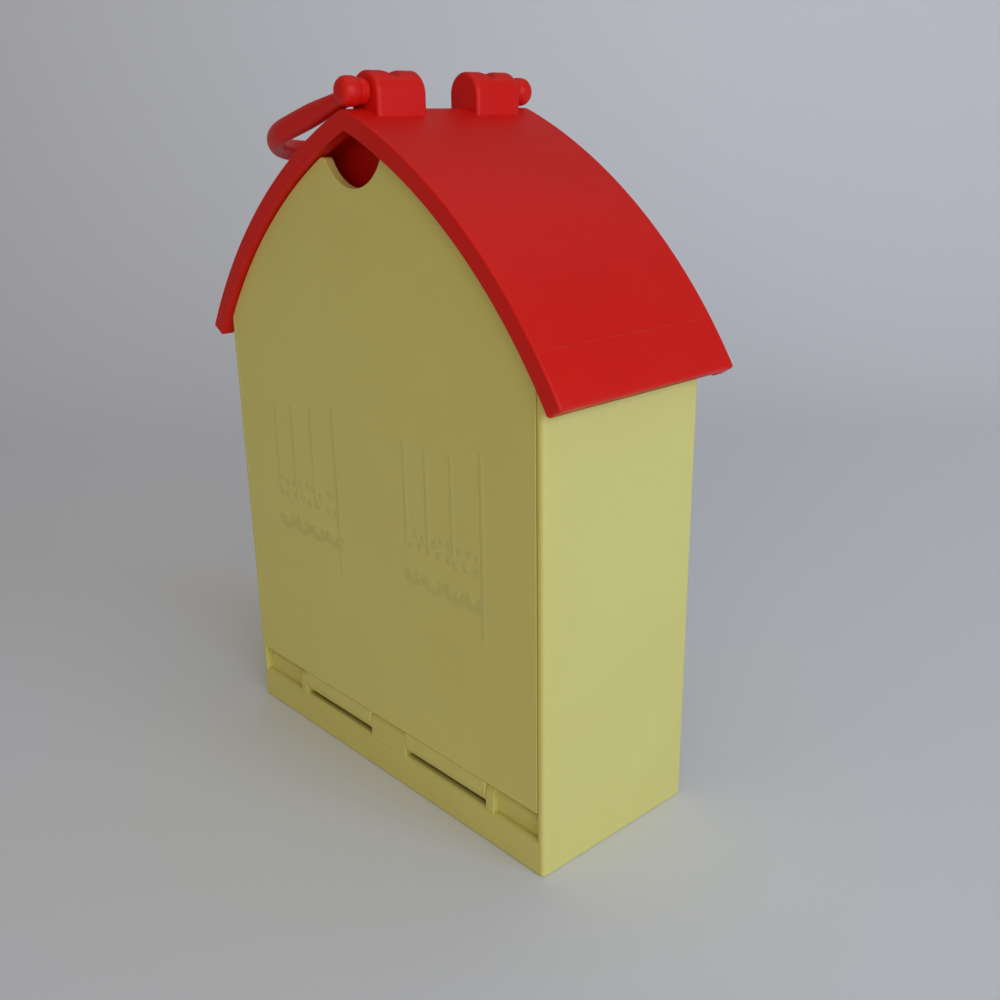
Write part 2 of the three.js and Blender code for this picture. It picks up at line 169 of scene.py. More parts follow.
def prism(outline, axis, low, high, low_round=0.0, high_round=0.0):
    """An outline pushed along axis 0, 1 or 2, its two other coordinates in order."""
    rings = []
    for at, drawn_in in eased_stations(low, high, low_round, high_round):
        rings.append([point[:axis] + [at] + point[axis:] for point in inset(outline, drawn_in)])
    return loft(rings)


def rectangle(u0, u1, v0, v1, corner=0.0, steps=3):
    """A counter-clockwise rectangle, with round corners if corner is set."""
    if corner == 0:
        return [(u0, v0), (u1, v0), (u1, v1), (u0, v1)]
    centres = [(u1 - corner, v0 + corner, 270), (u1 - corner, v1 - corner, 0),
               (u0 + corner, v1 - corner, 90), (u0 + corner, v0 + corner, 180)]
    return [p for cu, cv, start in centres for p in arc(cu, cv, corner, start, start + 90, steps)]


def rod(axis, u, v, radius, low, high, ends=0.0):
    """A round rod along an axis."""
    return prism(circle(u, v, radius, 48), axis, low, high, ends, ends)


# %% [markdown]
# Mouldings with bars, wells and bosses are several such solids fused, with holes taken out. A boolean
# modifier does that without leaving inner walls, and its result is kept as a plain mesh.

# %% Fusing and cutting
WELD = 1e-6


def keep_result(obj):
    """obj with what its modifiers make of it as its plain mesh."""
    bpy.context.view_layer.update()
    graph = bpy.context.evaluated_depsgraph_get()
    mesh = bpy.data.meshes.new_from_object(obj.evaluated_get(graph))
    obj.modifiers.clear()
    obj.data = mesh
    return obj


def combine(base, operation, tools):
    """base with the tools fused in, cut out or met, one after another."""
    for tool in tools:
        modifier = base.modifiers.new("combine", "BOOLEAN")
        modifier.operation = operation
        modifier.solver = "MANIFOLD"
        modifier.object = tool
    keep_result(base)
    for tool in tools:
        bpy.data.objects.remove(tool)
    return base


def fuse(base, *tools):
    return combine(base, "UNION", tools)


def cut(base, *tools):
    return combine(base, "DIFFERENCE", tools)


def finish_piece(obj, name, body, material, replaced=(), crease=32):
    """The last steps of every piece: metres, soft shading between creases, material and body."""
    obj.name = name
    obj.data.name = name
    obj.data.transform(Matrix.Scale(1 / METRE, 4))
    shape = bmesh.new()
    shape.from_mesh(obj.data)
    bmesh.ops.remove_doubles(shape, verts=shape.verts, dist=WELD)
    bmesh.ops.dissolve_degenerate(shape, edges=shape.edges, dist=WELD)
    open_edges = sum(not edge.is_manifold for edge in shape.edges)
    shape.to_mesh(obj.data)
    shape.free()
    obj.data.polygons.foreach_set("use_smooth", [True] * len(obj.data.polygons))
    obj.data.set_sharp_from_angle(angle=math.radians(crease))
    weighted = obj.modifiers.new("even shading", "WEIGHTED_NORMAL")
    weighted.keep_sharp = True
    weighted.weight = 80
    obj.data.materials.clear()
    obj.data.materials.append(material)
    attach(obj, body)
    if replaced:
        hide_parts(*replaced)
    print(name, len(obj.data.polygons), "faces,", open_edges, "open edges")


# %% [markdown]
# The plastics come next, so that each piece can take its own as soon as it is made. The picture is lit
# by a soft light, so what tells plastic from paint is small: the sheen wanders a little, the surface
# has the fine grain of a spark-eroded mould, thin walls glow slightly, and a played-with toy has
# hairline scratches and paler edges.

# %% Colour and node helpers
def linear(hex_colour):
    """An sRGB colour written as six hex digits, as linear red, green, blue and one for alpha."""
    values = [int(hex_colour[i:i + 2], 16) / 255 for i in (0, 2, 4)]
    return [v / 12.92 if v <= 0.04045 else ((v + 0.055) / 1.055) ** 2.4 for v in values] + [1.0]


def add_node(tree, kind, inputs=None, **settings):
    """A node with its settings, each input either a plain value or a socket to link."""
    new = tree.nodes.new(kind)
    for setting, value in settings.items():
        setattr(new, setting, value)
    for socket, value in (inputs or {}).items():
        if isinstance(value, bpy.types.NodeSocket):
            tree.links.new(value, new.inputs[socket])
        else:
            new.inputs[socket].default_value = value
    return new


def new_material(name):
    material = bpy.data.materials.new(name)
    material.use_nodes = True
    material.node_tree.nodes.clear()
    return material


def per_metre(size_mm):
    """Noise scale that gives features of about the given size."""
    return METRE / size_mm


# %% [markdown]
# Moulded plastic: polypropylene for the yellow parts, which have to flex and snap, and ABS for the red
# ones, which are stiffer and a little glossier. Both have the same finish from the mould, so one
# function makes both. Tint and sheen vary slowly over the part, the grain is 0.35 mm, coarser than the
# real one so that it shows at all, and the scratches are noise stretched along one direction.

# %% Moulded plastics
TINT_MM = 22.0
HOLLOW_MM = 14.0
SHEEN_MM = 7.0
GRAIN_MM = 0.35
SCRATCH_WIDTH_MM = 0.25
SCRATCH_LENGTH_MM = 9.0
SCRATCH_LEAN = (0.5, 0.35, 0.9)
HAIRLINE = (0.70, 0.76)
WORN_EDGE = (0.52, 0.62)
HOLLOW_DEPTH = 0.4 / METRE
GRAIN_DEPTH = 0.03 / METRE
SCRATCH_DEPTH = 0.02 / METRE
GLOW_DEPTH = 1.2 / METRE


def moulded_plastic(name, colour, deep_colour, pale_colour, ior, shine, roughness, glow, glow_radius):
    material = new_material(name)
    tree = material.node_tree
    place = add_node(tree, "ShaderNodeTexCoord").outputs["Object"]

    tint = add_node(tree, "ShaderNodeTexNoise",
                    {"Vector": place, "Scale": per_metre(TINT_MM), "Detail": 3.0, "Roughness": 0.55})
    tinted = add_node(tree, "ShaderNodeMix", {"Factor": tint.outputs["Fac"], "A": linear(deep_colour),
                                              "B": linear(colour)}, data_type="RGBA")
    edge = add_node(tree, "ShaderNodeNewGeometry").outputs["Pointiness"]
    worn = add_node(tree, "ShaderNodeMapRange", {
        "Value": edge, "From Min": WORN_EDGE[0], "From Max": WORN_EDGE[1], "To Min": 0.0, "To Max": 0.35})
    colour_out = add_node(tree, "ShaderNodeMix", {"Factor": worn.outputs["Result"],
                                                  "A": tinted.outputs["Result"],
                                                  "B": linear(pale_colour)}, data_type="RGBA")

    stretch = add_node(tree, "ShaderNodeMapping", {
        "Vector": place, "Rotation": SCRATCH_LEAN,
        "Scale": (per_metre(SCRATCH_WIDTH_MM),) * 2 + (per_metre(SCRATCH_LENGTH_MM),)})
    scratch = add_node(tree, "ShaderNodeTexNoise",
                       {"Vector": stretch.outputs["Vector"], "Scale": 1.0, "Detail": 2.0})
    hairline = add_node(tree, "ShaderNodeMapRange", {
        "Value": scratch.outputs["Fac"], "From Min": HAIRLINE[0], "From Max": HAIRLINE[1],
        "To Min": 0.0, "To Max": 1.0})
    sheen = add_node(tree, "ShaderNodeTexNoise",
                     {"Vector": place, "Scale": per_metre(SHEEN_MM), "Detail": 4.0, "Roughness": 0.6})
    rough = add_node(tree, "ShaderNodeMapRange", {
        "Value": sheen.outputs["Fac"], "From Min": 0.3, "From Max": 0.7,
        "To Min": roughness - 0.05, "To Max": roughness + 0.07})
    rougher = add_node(tree, "ShaderNodeMath", {0: hairline.outputs["Result"], 1: 0.12,
                                                2: rough.outputs["Result"]}, operation="MULTIPLY_ADD")

    grain = add_node(tree, "ShaderNodeTexNoise",
                     {"Vector": place, "Scale": per_metre(GRAIN_MM), "Detail": 2.0})
    sink = add_node(tree, "ShaderNodeTexNoise",
                    {"Vector": place, "Scale": per_metre(HOLLOW_MM), "Detail": 1.0})
    sunk = add_node(tree, "ShaderNodeBump", {"Height": sink.outputs["Fac"], "Strength": 0.35,
                                             "Distance": HOLLOW_DEPTH})
    grained = add_node(tree, "ShaderNodeBump", {"Height": grain.outputs["Fac"], "Strength": 0.22,
                                                "Distance": GRAIN_DEPTH, "Normal": sunk.outputs["Normal"]})
    scratched = add_node(tree, "ShaderNodeBump", {
        "Height": hairline.outputs["Result"], "Strength": 0.4, "Distance": SCRATCH_DEPTH,
        "Normal": grained.outputs["Normal"]}, invert=True)

    shader = add_node(tree, "ShaderNodeBsdfPrincipled", {
        "Base Color": colour_out.outputs["Result"], "Roughness": rougher.outputs["Value"], "IOR": ior,
        "Specular IOR Level": shine, "Normal": scratched.outputs["Normal"],
        "Subsurface Weight": glow, "Subsurface Radius": glow_radius, "Subsurface Scale": GLOW_DEPTH})
    add_node(tree, "ShaderNodeOutputMaterial", {"Surface": shader.outputs["BSDF"]})
    return material


# Polypropylene: satin, waxy, slightly see-through at the edges
yellow_polypropylene = moulded_plastic(
    "yellow_moulded_polypropylene", colour="DCD587", deep_colour="D6CE7E", pale_colour="E4DE92",
    ior=1.49, shine=0.2, roughness=0.42, glow=0.12, glow_radius=(1.0, 0.8, 0.3))
# ABS: stiffer and glossier, deep opaque red
red_abs = moulded_plastic(
    "red_moulded_abs", colour="DF1F13", deep_colour="D61A0F", pale_colour="E34433",
    ior=1.54, shine=0.3, roughness=0.40, glow=0.06, glow_radius=(1.0, 0.1, 0.05))
print("plastics", yellow_polypropylene.name, red_abs.name)

# %% [markdown]
# The screws are zinc-plated steel, a bright grey metal with a slightly cloudy sheen from the plating
# bath. Metal colour comes from its own reflection, so the base colour is pale and the roughness does
# the rest.

# %% Plated steel
CLOUD_MM = 1.2
CLOUD_DEPTH = 0.02 / METRE


def plated_steel(name):
    material = new_material(name)
    tree = material.node_tree
    place = add_node(tree, "ShaderNodeTexCoord").outputs["Object"]
    cloud = add_node(tree, "ShaderNodeTexNoise",
                     {"Vector": place, "Scale": per_metre(CLOUD_MM), "Detail": 4.0})
    tone = add_node(tree, "ShaderNodeMix", {"Factor": cloud.outputs["Fac"], "A": linear("A7AAAC"),
                                            "B": linear("C9CBCB")}, data_type="RGBA")
    rough = add_node(tree, "ShaderNodeMapRange", {"Value": cloud.outputs["Fac"], "From Min": 0.3,
                                                  "From Max": 0.7, "To Min": 0.24, "To Max": 0.42})
    bump = add_node(tree, "ShaderNodeBump", {"Height": cloud.outputs["Fac"], "Strength": 0.15,
                                             "Distance": CLOUD_DEPTH})
    shader = add_node(tree, "ShaderNodeBsdfPrincipled", {
        "Base Color": tone.outputs["Result"], "Metallic": 1.0, "Roughness": rough.outputs["Result"],
        "Normal": bump.outputs["Normal"]})
    add_node(tree, "ShaderNodeOutputMaterial", {"Surface": shader.outputs["BSDF"]})
    return material


screw_steel = plated_steel("zinc_plated_steel")
print("metal", screw_steel.name)

# %% [markdown]
# The roof, the walls and the front panel all follow the same pointed arch: one arc rises from each
# eave, and the two meet at the ridge. Its centre is worked out once, from the eave, the ridge and the
# radius, and everything that lies under the roof takes a smaller radius about the same centre.

# %% The roof's arch
rise = RIDGE_Z - EAVE_Z
chord = math.hypot(EAVE_X, rise)
chord_to_centre = math.sqrt(ROOF_RADIUS ** 2 - (chord / 2) ** 2)
ARCH_X = chord_to_centre * rise / chord - EAVE_X / 2
ARCH_Z = (EAVE_Z + RIDGE_Z) / 2 - chord_to_centre * EAVE_X / chord
EAVE_TURN = math.degrees(math.asin((EAVE_Z - ARCH_Z) / ROOF_RADIUS))
CROWN_TURN = math.degrees(math.acos(ARCH_X / (ROOF_RADIUS - RIDGE_ROUND)))
CROWN_Z = ARCH_Z + (ROOF_RADIUS - RIDGE_ROUND) * math.sin(math.radians(CROWN_TURN))
MID_ROOF_RADIUS = ROOF_RADIUS - ROOF_THICKNESS / 2


def turn_at(radius, x):
    return math.degrees(math.acos((x + ARCH_X) / radius))


def height_at(radius, x):
    return ARCH_Z + math.sqrt(radius ** 2 - (abs(x) + ARCH_X) ** 2)


def arch(half_width, radius):
    """Points from the right-hand side over the ridge to the left-hand side."""
    right = arc(-ARCH_X, ARCH_Z, radius, turn_at(radius, half_width), turn_at(radius, 0), 28)
    return right + [(-x, z) for x, z in reversed(right[:-1])]


def under_roof(thickness):
    """Outline of all that lies under a roof of this thickness, with the gap."""
    outer = HALF_WIDTH + PAST
    return [(-outer, -PAST), (outer, -PAST)] + arch(outer, ROOF_RADIUS - thickness - ROOF_GAP)


print("arch centre", round(ARCH_X, 3), round(ARCH_Z, 3), "crown", round(CROWN_Z, 3))

# %% [markdown]
# The house body is one yellow moulding: a hollow base with the floor on it, two side walls and the back
# gable, and a low rail along the front. The walls are a U-shaped plan pushed upwards and then trimmed
# to the roof's arch. The trim leaves more room near the front, where the roof's rim is thicker.

# %% House body: walls, base and rail
WALL_CORNER = 1.0
WALL_TIP = 0.45
WALL_FOOT = 2.0
BASE_EDGE = 0.35
HOLLOW_CORNER = 0.8
RAIL_WALL = 1.8
RAIL_HEIGHT = 7.4
RAIL_ROUND = 0.8
RAIL_EDGE = 0.3
RIM_BACK_Y = RIM_DEPTH - ROOF_HALF_DEPTH
TALL = 2 * RIDGE_Z
OVERLAP = 0.001


def wall_plan():
    """U-shaped plan of the two side walls and the back wall, with eased corners."""
    x, tip, corner = HALF_WIDTH, WALL_TIP, WALL_CORNER
    right = arc(x - corner, FRONT_Y + corner, corner, 270, 360, 5)
    back = arc(x - corner, BACK_Y - corner, corner, 0, 90, 5)
    right_tip = arc(INSIDE_X + tip, FRONT_Y + tip, tip, 180, 270, 3)
    half = [(INSIDE_X, INSIDE_BACK_Y)] + right_tip + right + back
    return half + [(-px, py) for px, py in reversed(half)]


def base_tray():
    tray = prism(rectangle(-HALF_WIDTH, HALF_WIDTH, FRONT_Y, BACK_Y, WALL_CORNER, 5), 2,
                 0, BASE_HEIGHT, BASE_EDGE)
    hollow = prism(rectangle(-INSIDE_X, INSIDE_X, FRONT_Y + RAIL_WALL, INSIDE_BACK_Y, HOLLOW_CORNER), 2,
                   -PAST, BASE_HEIGHT - FLOOR_PLATE)
    return cut(tray, hollow)


def front_rail():
    low, back = BASE_HEIGHT - FLOOR_PLATE, FRONT_Y + RAIL_WALL
    outline = [(FRONT_Y, low), (back, low)]
    outline += arc(back - RAIL_EDGE, RAIL_HEIGHT - RAIL_EDGE, RAIL_EDGE, 0, 90, 3)
    outline += arc(FRONT_Y + RAIL_ROUND, RAIL_HEIGHT - RAIL_ROUND, RAIL_ROUND, 90, 180, 6)
    return prism(outline, 0, -HALF_WIDTH + WALL_CORNER, HALF_WIDTH - WALL_CORNER)


def upright_walls():
    walls = prism(wall_plan(), 2, WALL_FOOT, TALL)
    step_y = RIM_BACK_Y + ROOF_GAP
    room_behind = prism(under_roof(ROOF_THICKNESS), 1, step_y, BACK_Y + PAST)
    room_in_front = prism(under_roof(RIM_THICKNESS), 1, FRONT_Y - PAST, step_y + OVERLAP)
    return combine(walls, "INTERSECT", [fuse(room_behind, room_in_front)])


house_body = fuse(base_tray(), front_rail(), upright_walls())
print("walls", len(house_body.data.polygons))

# %% [markdown]
# On the rail stand the ears that carry the hinge bar, with a set-back wall beyond the outer ears. The
# walls carry the small things that the other parts need: stops for the closed panel, ledges for the
# upper floor and, in the back wall, sunk wells for four screws.

# %% House body: hinge bar, stops, ledges and screw wells
MIDDLE_EAR = 12.0
SLOT = 26.0
END_EAR = 2.2
EAR_RADIUS = 2.8
EAR_EDGE = 0.15
END_RECESS = 1.3
BAR_RADIUS = 1.6
RIB_EDGE = 0.2
STOP_WIDTH = 1.3
STOP_DEPTH = 1.2
STOP_GAP = 0.2
LEDGE = 1.6
LEDGE_TOP = shelf_high.z - SHELF_THICKNESS - SHELF_GAP
WELL_DEPTH = 4.2
WELL_WEB = 1.6
WELL_RADIUS = 4.4
WELL_WALL = 1.2
HOLE_RADIUS = 1.6
WELL_SEAT_Y = BACK_Y - WELL_DEPTH
ROOF_SCREWS = [(-20, 115), (20, 115)]
SHELF_SCREWS = [(-30, 45.2), (30, 45.2)]
SCREW_PLACES = ROOF_SCREWS + SHELF_SCREWS


def ear(x0, x1, radius=EAR_RADIUS):
    outline = arc(HINGE_Y, HINGE_Z, radius, 0, 180, 16)
    outline += [(HINGE_Y - radius, BASE_HEIGHT - SUNK), (HINGE_Y + radius, BASE_HEIGHT - SUNK)]
    return prism(outline, 0, x0, x1, EAR_EDGE, EAR_EDGE)


def sided(side, near, far):
    """The stretch from near to far on the right (1) or left (-1) side, its lower end first."""
    return sorted((side * near, side * far))


def side_block(side, depth, y0, y1, z0, z1):
    """A rib on the inner face of a side wall."""
    near, far = sided(side, INSIDE_X - depth, INSIDE_X + WALL / 2)
    return prism(rectangle(near, far, y0, y1), 2, z0, z1, RIB_EDGE, RIB_EDGE)


def rods(places, radius, low, high):
    """Rods along the depth of the house, one at each place."""
    return [rod(1, x, z, radius, low, high) for x, z in places]


slot_in = MIDDLE_EAR / 2
slot_out = slot_in + SLOT
wall_radius = EAR_RADIUS - END_RECESS
ears = [ear(HINGE_SHIFT - slot_in, HINGE_SHIFT + slot_in),
        ear(HINGE_SHIFT + slot_out, HINGE_SHIFT + slot_out + END_EAR),
        ear(HINGE_SHIFT - slot_out - END_EAR, HINGE_SHIFT - slot_out),
        ear(HINGE_SHIFT + slot_out + SUNK, INSIDE_X + WALL / 2, wall_radius),
        ear(-INSIDE_X - WALL / 2, HINGE_SHIFT - slot_out - SUNK, wall_radius)]
bar = rod(0, HINGE_Y, HINGE_Z, BAR_RADIUS, HINGE_SHIFT - slot_out - SUNK, HINGE_SHIFT + slot_out + SUNK)
stop_y = PANEL_BACK_Y + STOP_GAP
stop_top = height_at(ROOF_RADIUS - ROOF_THICKNESS - ROOF_GAP, INSIDE_X) - STOP_WIDTH
ribs = [side_block(side, STOP_WIDTH, stop_y, stop_y + STOP_DEPTH, PANEL_FOOT, stop_top) for side in (-1, 1)]
ribs += [side_block(side, LEDGE, stop_y, INSIDE_BACK_Y + SUNK, LEDGE_TOP - LEDGE, LEDGE_TOP)
         for side in (-1, 1)]
wells = rods(SCREW_PLACES, WELL_RADIUS, WELL_SEAT_Y - WELL_WEB, INSIDE_BACK_Y + SUNK)
sinks = rods(SCREW_PLACES, WELL_RADIUS - WELL_WALL, WELL_SEAT_Y, BACK_Y + PAST)
holes = rods(SCREW_PLACES, HOLE_RADIUS, WELL_SEAT_Y - PAST, BACK_Y)
house_body = fuse(house_body, *ears, bar, *ribs, *wells)
house_body = cut(house_body, *sinks, *holes)
finish_piece(house_body, "body_moulding", "house", yellow_polypropylene, ["house_body"])

# %% [markdown]
# The front panel is the gable that hinges down. Its outline is the arch again with the finger notch
# bitten out of the top. The notch's shoulders are eased by a small arc that touches both the roof's
# arch and the notch circle, the left one more than the right one, as on the real moulding.

# %% Front panel plate
PANEL_HALF = INSIDE_X - 0.06
PANEL_RADIUS = ROOF_RADIUS - RIM_THICKNESS - 0.25
PANEL_EDGE = 0.15
PANEL_BACK_EDGE = 0.2
FOOT_CORNER = 0.3
NOTCH_RADIUS = 9.8
NOTCH_Z = RIDGE_Z - 4.4
RIGHT_SHOULDER = 0.4
LEFT_SHOULDER = 1.5


def shoulder(radius):
    """Arc that eases the right-hand corner, from arch to notch, and the turn at which it leaves the arch."""
    reach = PANEL_RADIUS - radius
    apart = math.hypot(ARCH_X, NOTCH_Z - ARCH_Z)
    toward_notch = math.atan2(NOTCH_Z - ARCH_Z, ARCH_X)
    near = NOTCH_RADIUS + radius
    turn = toward_notch - math.acos((reach ** 2 + apart ** 2 - near ** 2) / (2 * reach * apart))
    cx = -ARCH_X + reach * math.cos(turn)
    cz = ARCH_Z + reach * math.sin(turn)
    start = math.degrees(turn)
    stop = math.degrees(math.atan2(NOTCH_Z - cz, -cx))
    return arc(cx, cz, radius, start, stop, 5), start


def half_front(shoulder_radius):
    """Right-hand half of the panel's outline, from the foot up to the bottom of the notch."""
    eased, arch_stop = shoulder(shoulder_radius)
    side = arc(-ARCH_X, ARCH_Z, PANEL_RADIUS, turn_at(PANEL_RADIUS, PANEL_HALF), arch_stop, 30)
    end_x, end_z = eased[-1]
    notch_start = math.degrees(math.atan2(end_z - NOTCH_Z, end_x))
    notch = arc(0, NOTCH_Z, NOTCH_RADIUS, notch_start, -90, 20)
    foot = arc(PANEL_HALF - FOOT_CORNER, PANEL_FOOT + FOOT_CORNER, FOOT_CORNER, 270, 360, 3)
    return foot + side + eased[1:] + notch[1:]


right_half = half_front(RIGHT_SHOULDER)
left_half = [(-x, z) for x, z in reversed(half_front(LEFT_SHOULDER)[:-1])]
panel = prism(right_half + left_half, 1, FRONT_Y, PANEL_BACK_Y, PANEL_EDGE, PANEL_BACK_EDGE)
print("panel outline", len(right_half + left_half), "points")

# %% [markdown]
# Two wide hooks under the panel snap over the hinge bar from above. They are C-shaped and open
# downwards, and a web carries the panel's face down over them. Where the web meets the panel's eased
# foot, a fine seam shows.

# %% Front panel hooks
HOOK_INNER = 1.85
HOOK_OUTER = 2.85
HOOK_START = -50
HOOK_END = 230
HOOK_GAP = 0.15
HOOK_EDGE = 0.2
WEB_LIFT = 0.35
WEB_STEP = 0.5
WEB_RISE = 2.0
WEB_EDGE = 0.15
WEB_IN = 0.02
SEAM_FRONT = 0.2
SEAM_BACK = 0.1


def hook(x0, x1):
    outline = arc(HINGE_Y, HINGE_Z, HOOK_OUTER, HOOK_START, HOOK_END, 36)
    outline += arc(HINGE_Y, HINGE_Z, HOOK_INNER, HOOK_END, HOOK_START, 30)
    inside = HOOK_INNER + WEB_LIFT
    front, back = HINGE_Y - HOOK_OUTER, HINGE_Y + WEB_STEP
    web = [(front, HINGE_Z)] + arc(HINGE_Y, HINGE_Z, inside, 180, 90, 8)
    web += [(back, HINGE_Z + inside), (back, PANEL_FOOT), (PANEL_BACK_Y, PANEL_FOOT + WEB_RISE)]
    front_in = front + WEB_STEP
    web += [(front_in, PANEL_FOOT + WEB_RISE), (front_in, PANEL_FOOT + SEAM_BACK)]
    web += [(front, PANEL_FOOT - SEAM_FRONT)]
    return fuse(prism(outline, 0, x0, x1, HOOK_EDGE, HOOK_EDGE),
                prism(web, 0, x0 + WEB_IN, x1 - WEB_IN, WEB_EDGE, WEB_EDGE))


hook_in = slot_in + HOOK_GAP
hook_out = slot_out - HOOK_GAP
panel = fuse(panel, hook(HINGE_SHIFT + hook_in, HINGE_SHIFT + hook_out),
             hook(HINGE_SHIFT - hook_out, HINGE_SHIFT - hook_in))
finish_piece(panel, "panel_moulding", "panel", yellow_polypropylene, ["front_panel"])

# %% [markdown]
# The front carries two faint raised drawings: a window with upright bars and a planter under it. They
# are plain, general motifs, 0.04 to 0.08 mm proud. Each stroke is a path that a Geometry Nodes tree
# turns into a round tube and then flattens towards the panel's face, so that it becomes a soft ridge.

# %% A tree for raised strokes
def tree_with_inputs(name, inputs):
    """An empty geometry tree with a geometry input and output and the given named inputs."""
    tree = bpy.data.node_groups.new(name, "GeometryNodeTree")
    tree.interface.new_socket("Geometry", in_out="INPUT", socket_type="NodeSocketGeometry")
    tree.interface.new_socket("Geometry", in_out="OUTPUT", socket_type="NodeSocketGeometry")
    for title, kind in inputs.items():
        tree.interface.new_socket(title, in_out="INPUT", socket_type=kind)
    return tree, add_node(tree, "NodeGroupInput"), add_node(tree, "NodeGroupOutput")


def run_tree(obj, tree, values):
    """obj as a plain mesh made by the tree, its named inputs set by their identifiers."""
    modifier = obj.modifiers.new("nodes", "NODES")
    modifier.node_group = tree
    for item in tree.interface.items_tree:
        if item.item_type == "SOCKET" and item.in_out == "INPUT" and item.name in values:
            modifier[item.identifier] = values[item.name]
    return keep_result(obj)


def stroke_tree():
    tree, given, result = tree_with_inputs("raised_strokes", {
        "Stroke Width": "NodeSocketFloat", "Raised": "NodeSocketFloat", "Face": "NodeSocketFloat",
        "Plastic": "NodeSocketMaterial"})
    half = add_node(tree, "ShaderNodeMath", {0: given.outputs["Stroke Width"], 1: 0.5}, operation="MULTIPLY")
    path = add_node(tree, "GeometryNodeMeshToCurve", {"Mesh": given.outputs["Geometry"]})
    ring = add_node(tree, "GeometryNodeCurvePrimitiveCircle", {"Resolution": 16,
                                                               "Radius": half.outputs["Value"]})
    tube = add_node(tree, "GeometryNodeCurveToMesh", {"Curve": path.outputs["Curve"],
                                                      "Profile Curve": ring.outputs["Curve"],
                                                      "Fill Caps": True})
    here = add_node(tree, "GeometryNodeInputPosition")
    parts = add_node(tree, "ShaderNodeSeparateXYZ", {"Vector": here.outputs["Position"]})
    proud = add_node(tree, "ShaderNodeMath", {0: parts.outputs["Y"], 1: given.outputs["Face"]},
                     operation="SUBTRACT")
    share = add_node(tree, "ShaderNodeMath", {0: given.outputs["Raised"], 1: half.outputs["Value"]},
                     operation="DIVIDE")
    flat = add_node(tree, "ShaderNodeMath", {0: proud.outputs["Value"], 1: share.outputs["Value"],
                                             2: given.outputs["Face"]}, operation="MULTIPLY_ADD")
    spot = add_node(tree, "ShaderNodeCombineXYZ", {"X": parts.outputs["X"], "Y": flat.outputs["Value"],
                                                   "Z": parts.outputs["Z"]})
    moved = add_node(tree, "GeometryNodeSetPosition", {"Geometry": tube.outputs["Mesh"],
                                                       "Position": spot.outputs["Vector"]})
    real = add_node(tree, "GeometryNodeRealizeInstances", {"Geometry": moved.outputs["Geometry"]})
    painted = add_node(tree, "GeometryNodeSetMaterial", {"Geometry": real.outputs["Geometry"],
                                                         "Material": given.outputs["Plastic"]})
    tree.links.new(painted.outputs["Geometry"], result.inputs["Geometry"])
    return tree


strokes = stroke_tree()
print("tree", strokes.name, len(strokes.nodes), "nodes")

# %% [markdown]
# Each drawing has four uprights, the right-hand one taller and reaching down past the planter, and the
# planter's scalloped edge. The two windows are the same drawing, set about a middle line of their own.

# %% Raised window strokes
BAR_RELIEF = 0.065
BAR_WIDTH = 1.3
EDGE_RELIEF = 0.035
EDGE_WIDTH = 1.5
WINDOW_MIDDLES = (-23.0, 23.1)
WINDOW_FOOT = 57.5
WINDOW_TOP = 78.8
UPRIGHTS = (-11.2, -4.6, 2.8)
TALL_UPRIGHT = ((11.2, 43.8), (11.3, 62.0), (11.2, WINDOW_TOP + 2))
SCALLOPS = 4
SCALLOP_START = -12.6
SCALLOP_PITCH = 6.2
SCALLOP_RADIUS = 3.3
SCALLOP_Z = 53.2
SMALL_CREASE = 60


def window_paths(middle):
    paths = [[(middle + x, WINDOW_FOOT), (middle + x, WINDOW_TOP)] for x in UPRIGHTS]
    return paths + [[(middle + x, z) for x, z in TALL_UPRIGHT]]


def planter_paths(middle):
    starts = [middle + SCALLOP_START + SCALLOP_PITCH * k for k in range(SCALLOPS)]
    return [arc(start + SCALLOP_PITCH / 2, SCALLOP_Z, SCALLOP_RADIUS, 200, 340) for start in starts]


def plain_object(name, points, edges=(), faces=()):
    mesh = bpy.data.meshes.new(name)
    mesh.from_pydata(points, edges, faces)
    return new_object(name, mesh)


def raised_piece(obj, name):
    """The finished piece of something raised on the panel."""
    finish_piece(obj, name, "panel", yellow_polypropylene, crease=SMALL_CREASE)


def stroke_piece(name, paths_about, width, raised):
    """Loose edges along each window's paths, as soft ridges on the panel's front face."""
    points = []
    edges = []
    for path in [path for middle in WINDOW_MIDDLES for path in paths_about(middle)]:
        first = len(points)
        points += [(x, FRONT_Y, z) for x, z in path]
        edges += [(first + i, first + i + 1) for i in range(len(path) - 1)]
    ridges = run_tree(plain_object("paths", points, edges), strokes, {
        "Stroke Width": width, "Raised": raised, "Face": FRONT_Y, "Plastic": yellow_polypropylene})
    raised_piece(ridges, name)


stroke_piece("window_bars", window_paths, BAR_WIDTH, BAR_RELIEF)
stroke_piece("planter_edges", planter_paths, EDGE_WIDTH, EDGE_RELIEF)

# %% [markdown]
# Small things that repeat, such as leaves, tile marks and screws, are one pattern set on many points. A
# second tree does that. Each point carries its own turn and size as attributes, so the script decides
# where things go and the tree does the copying.

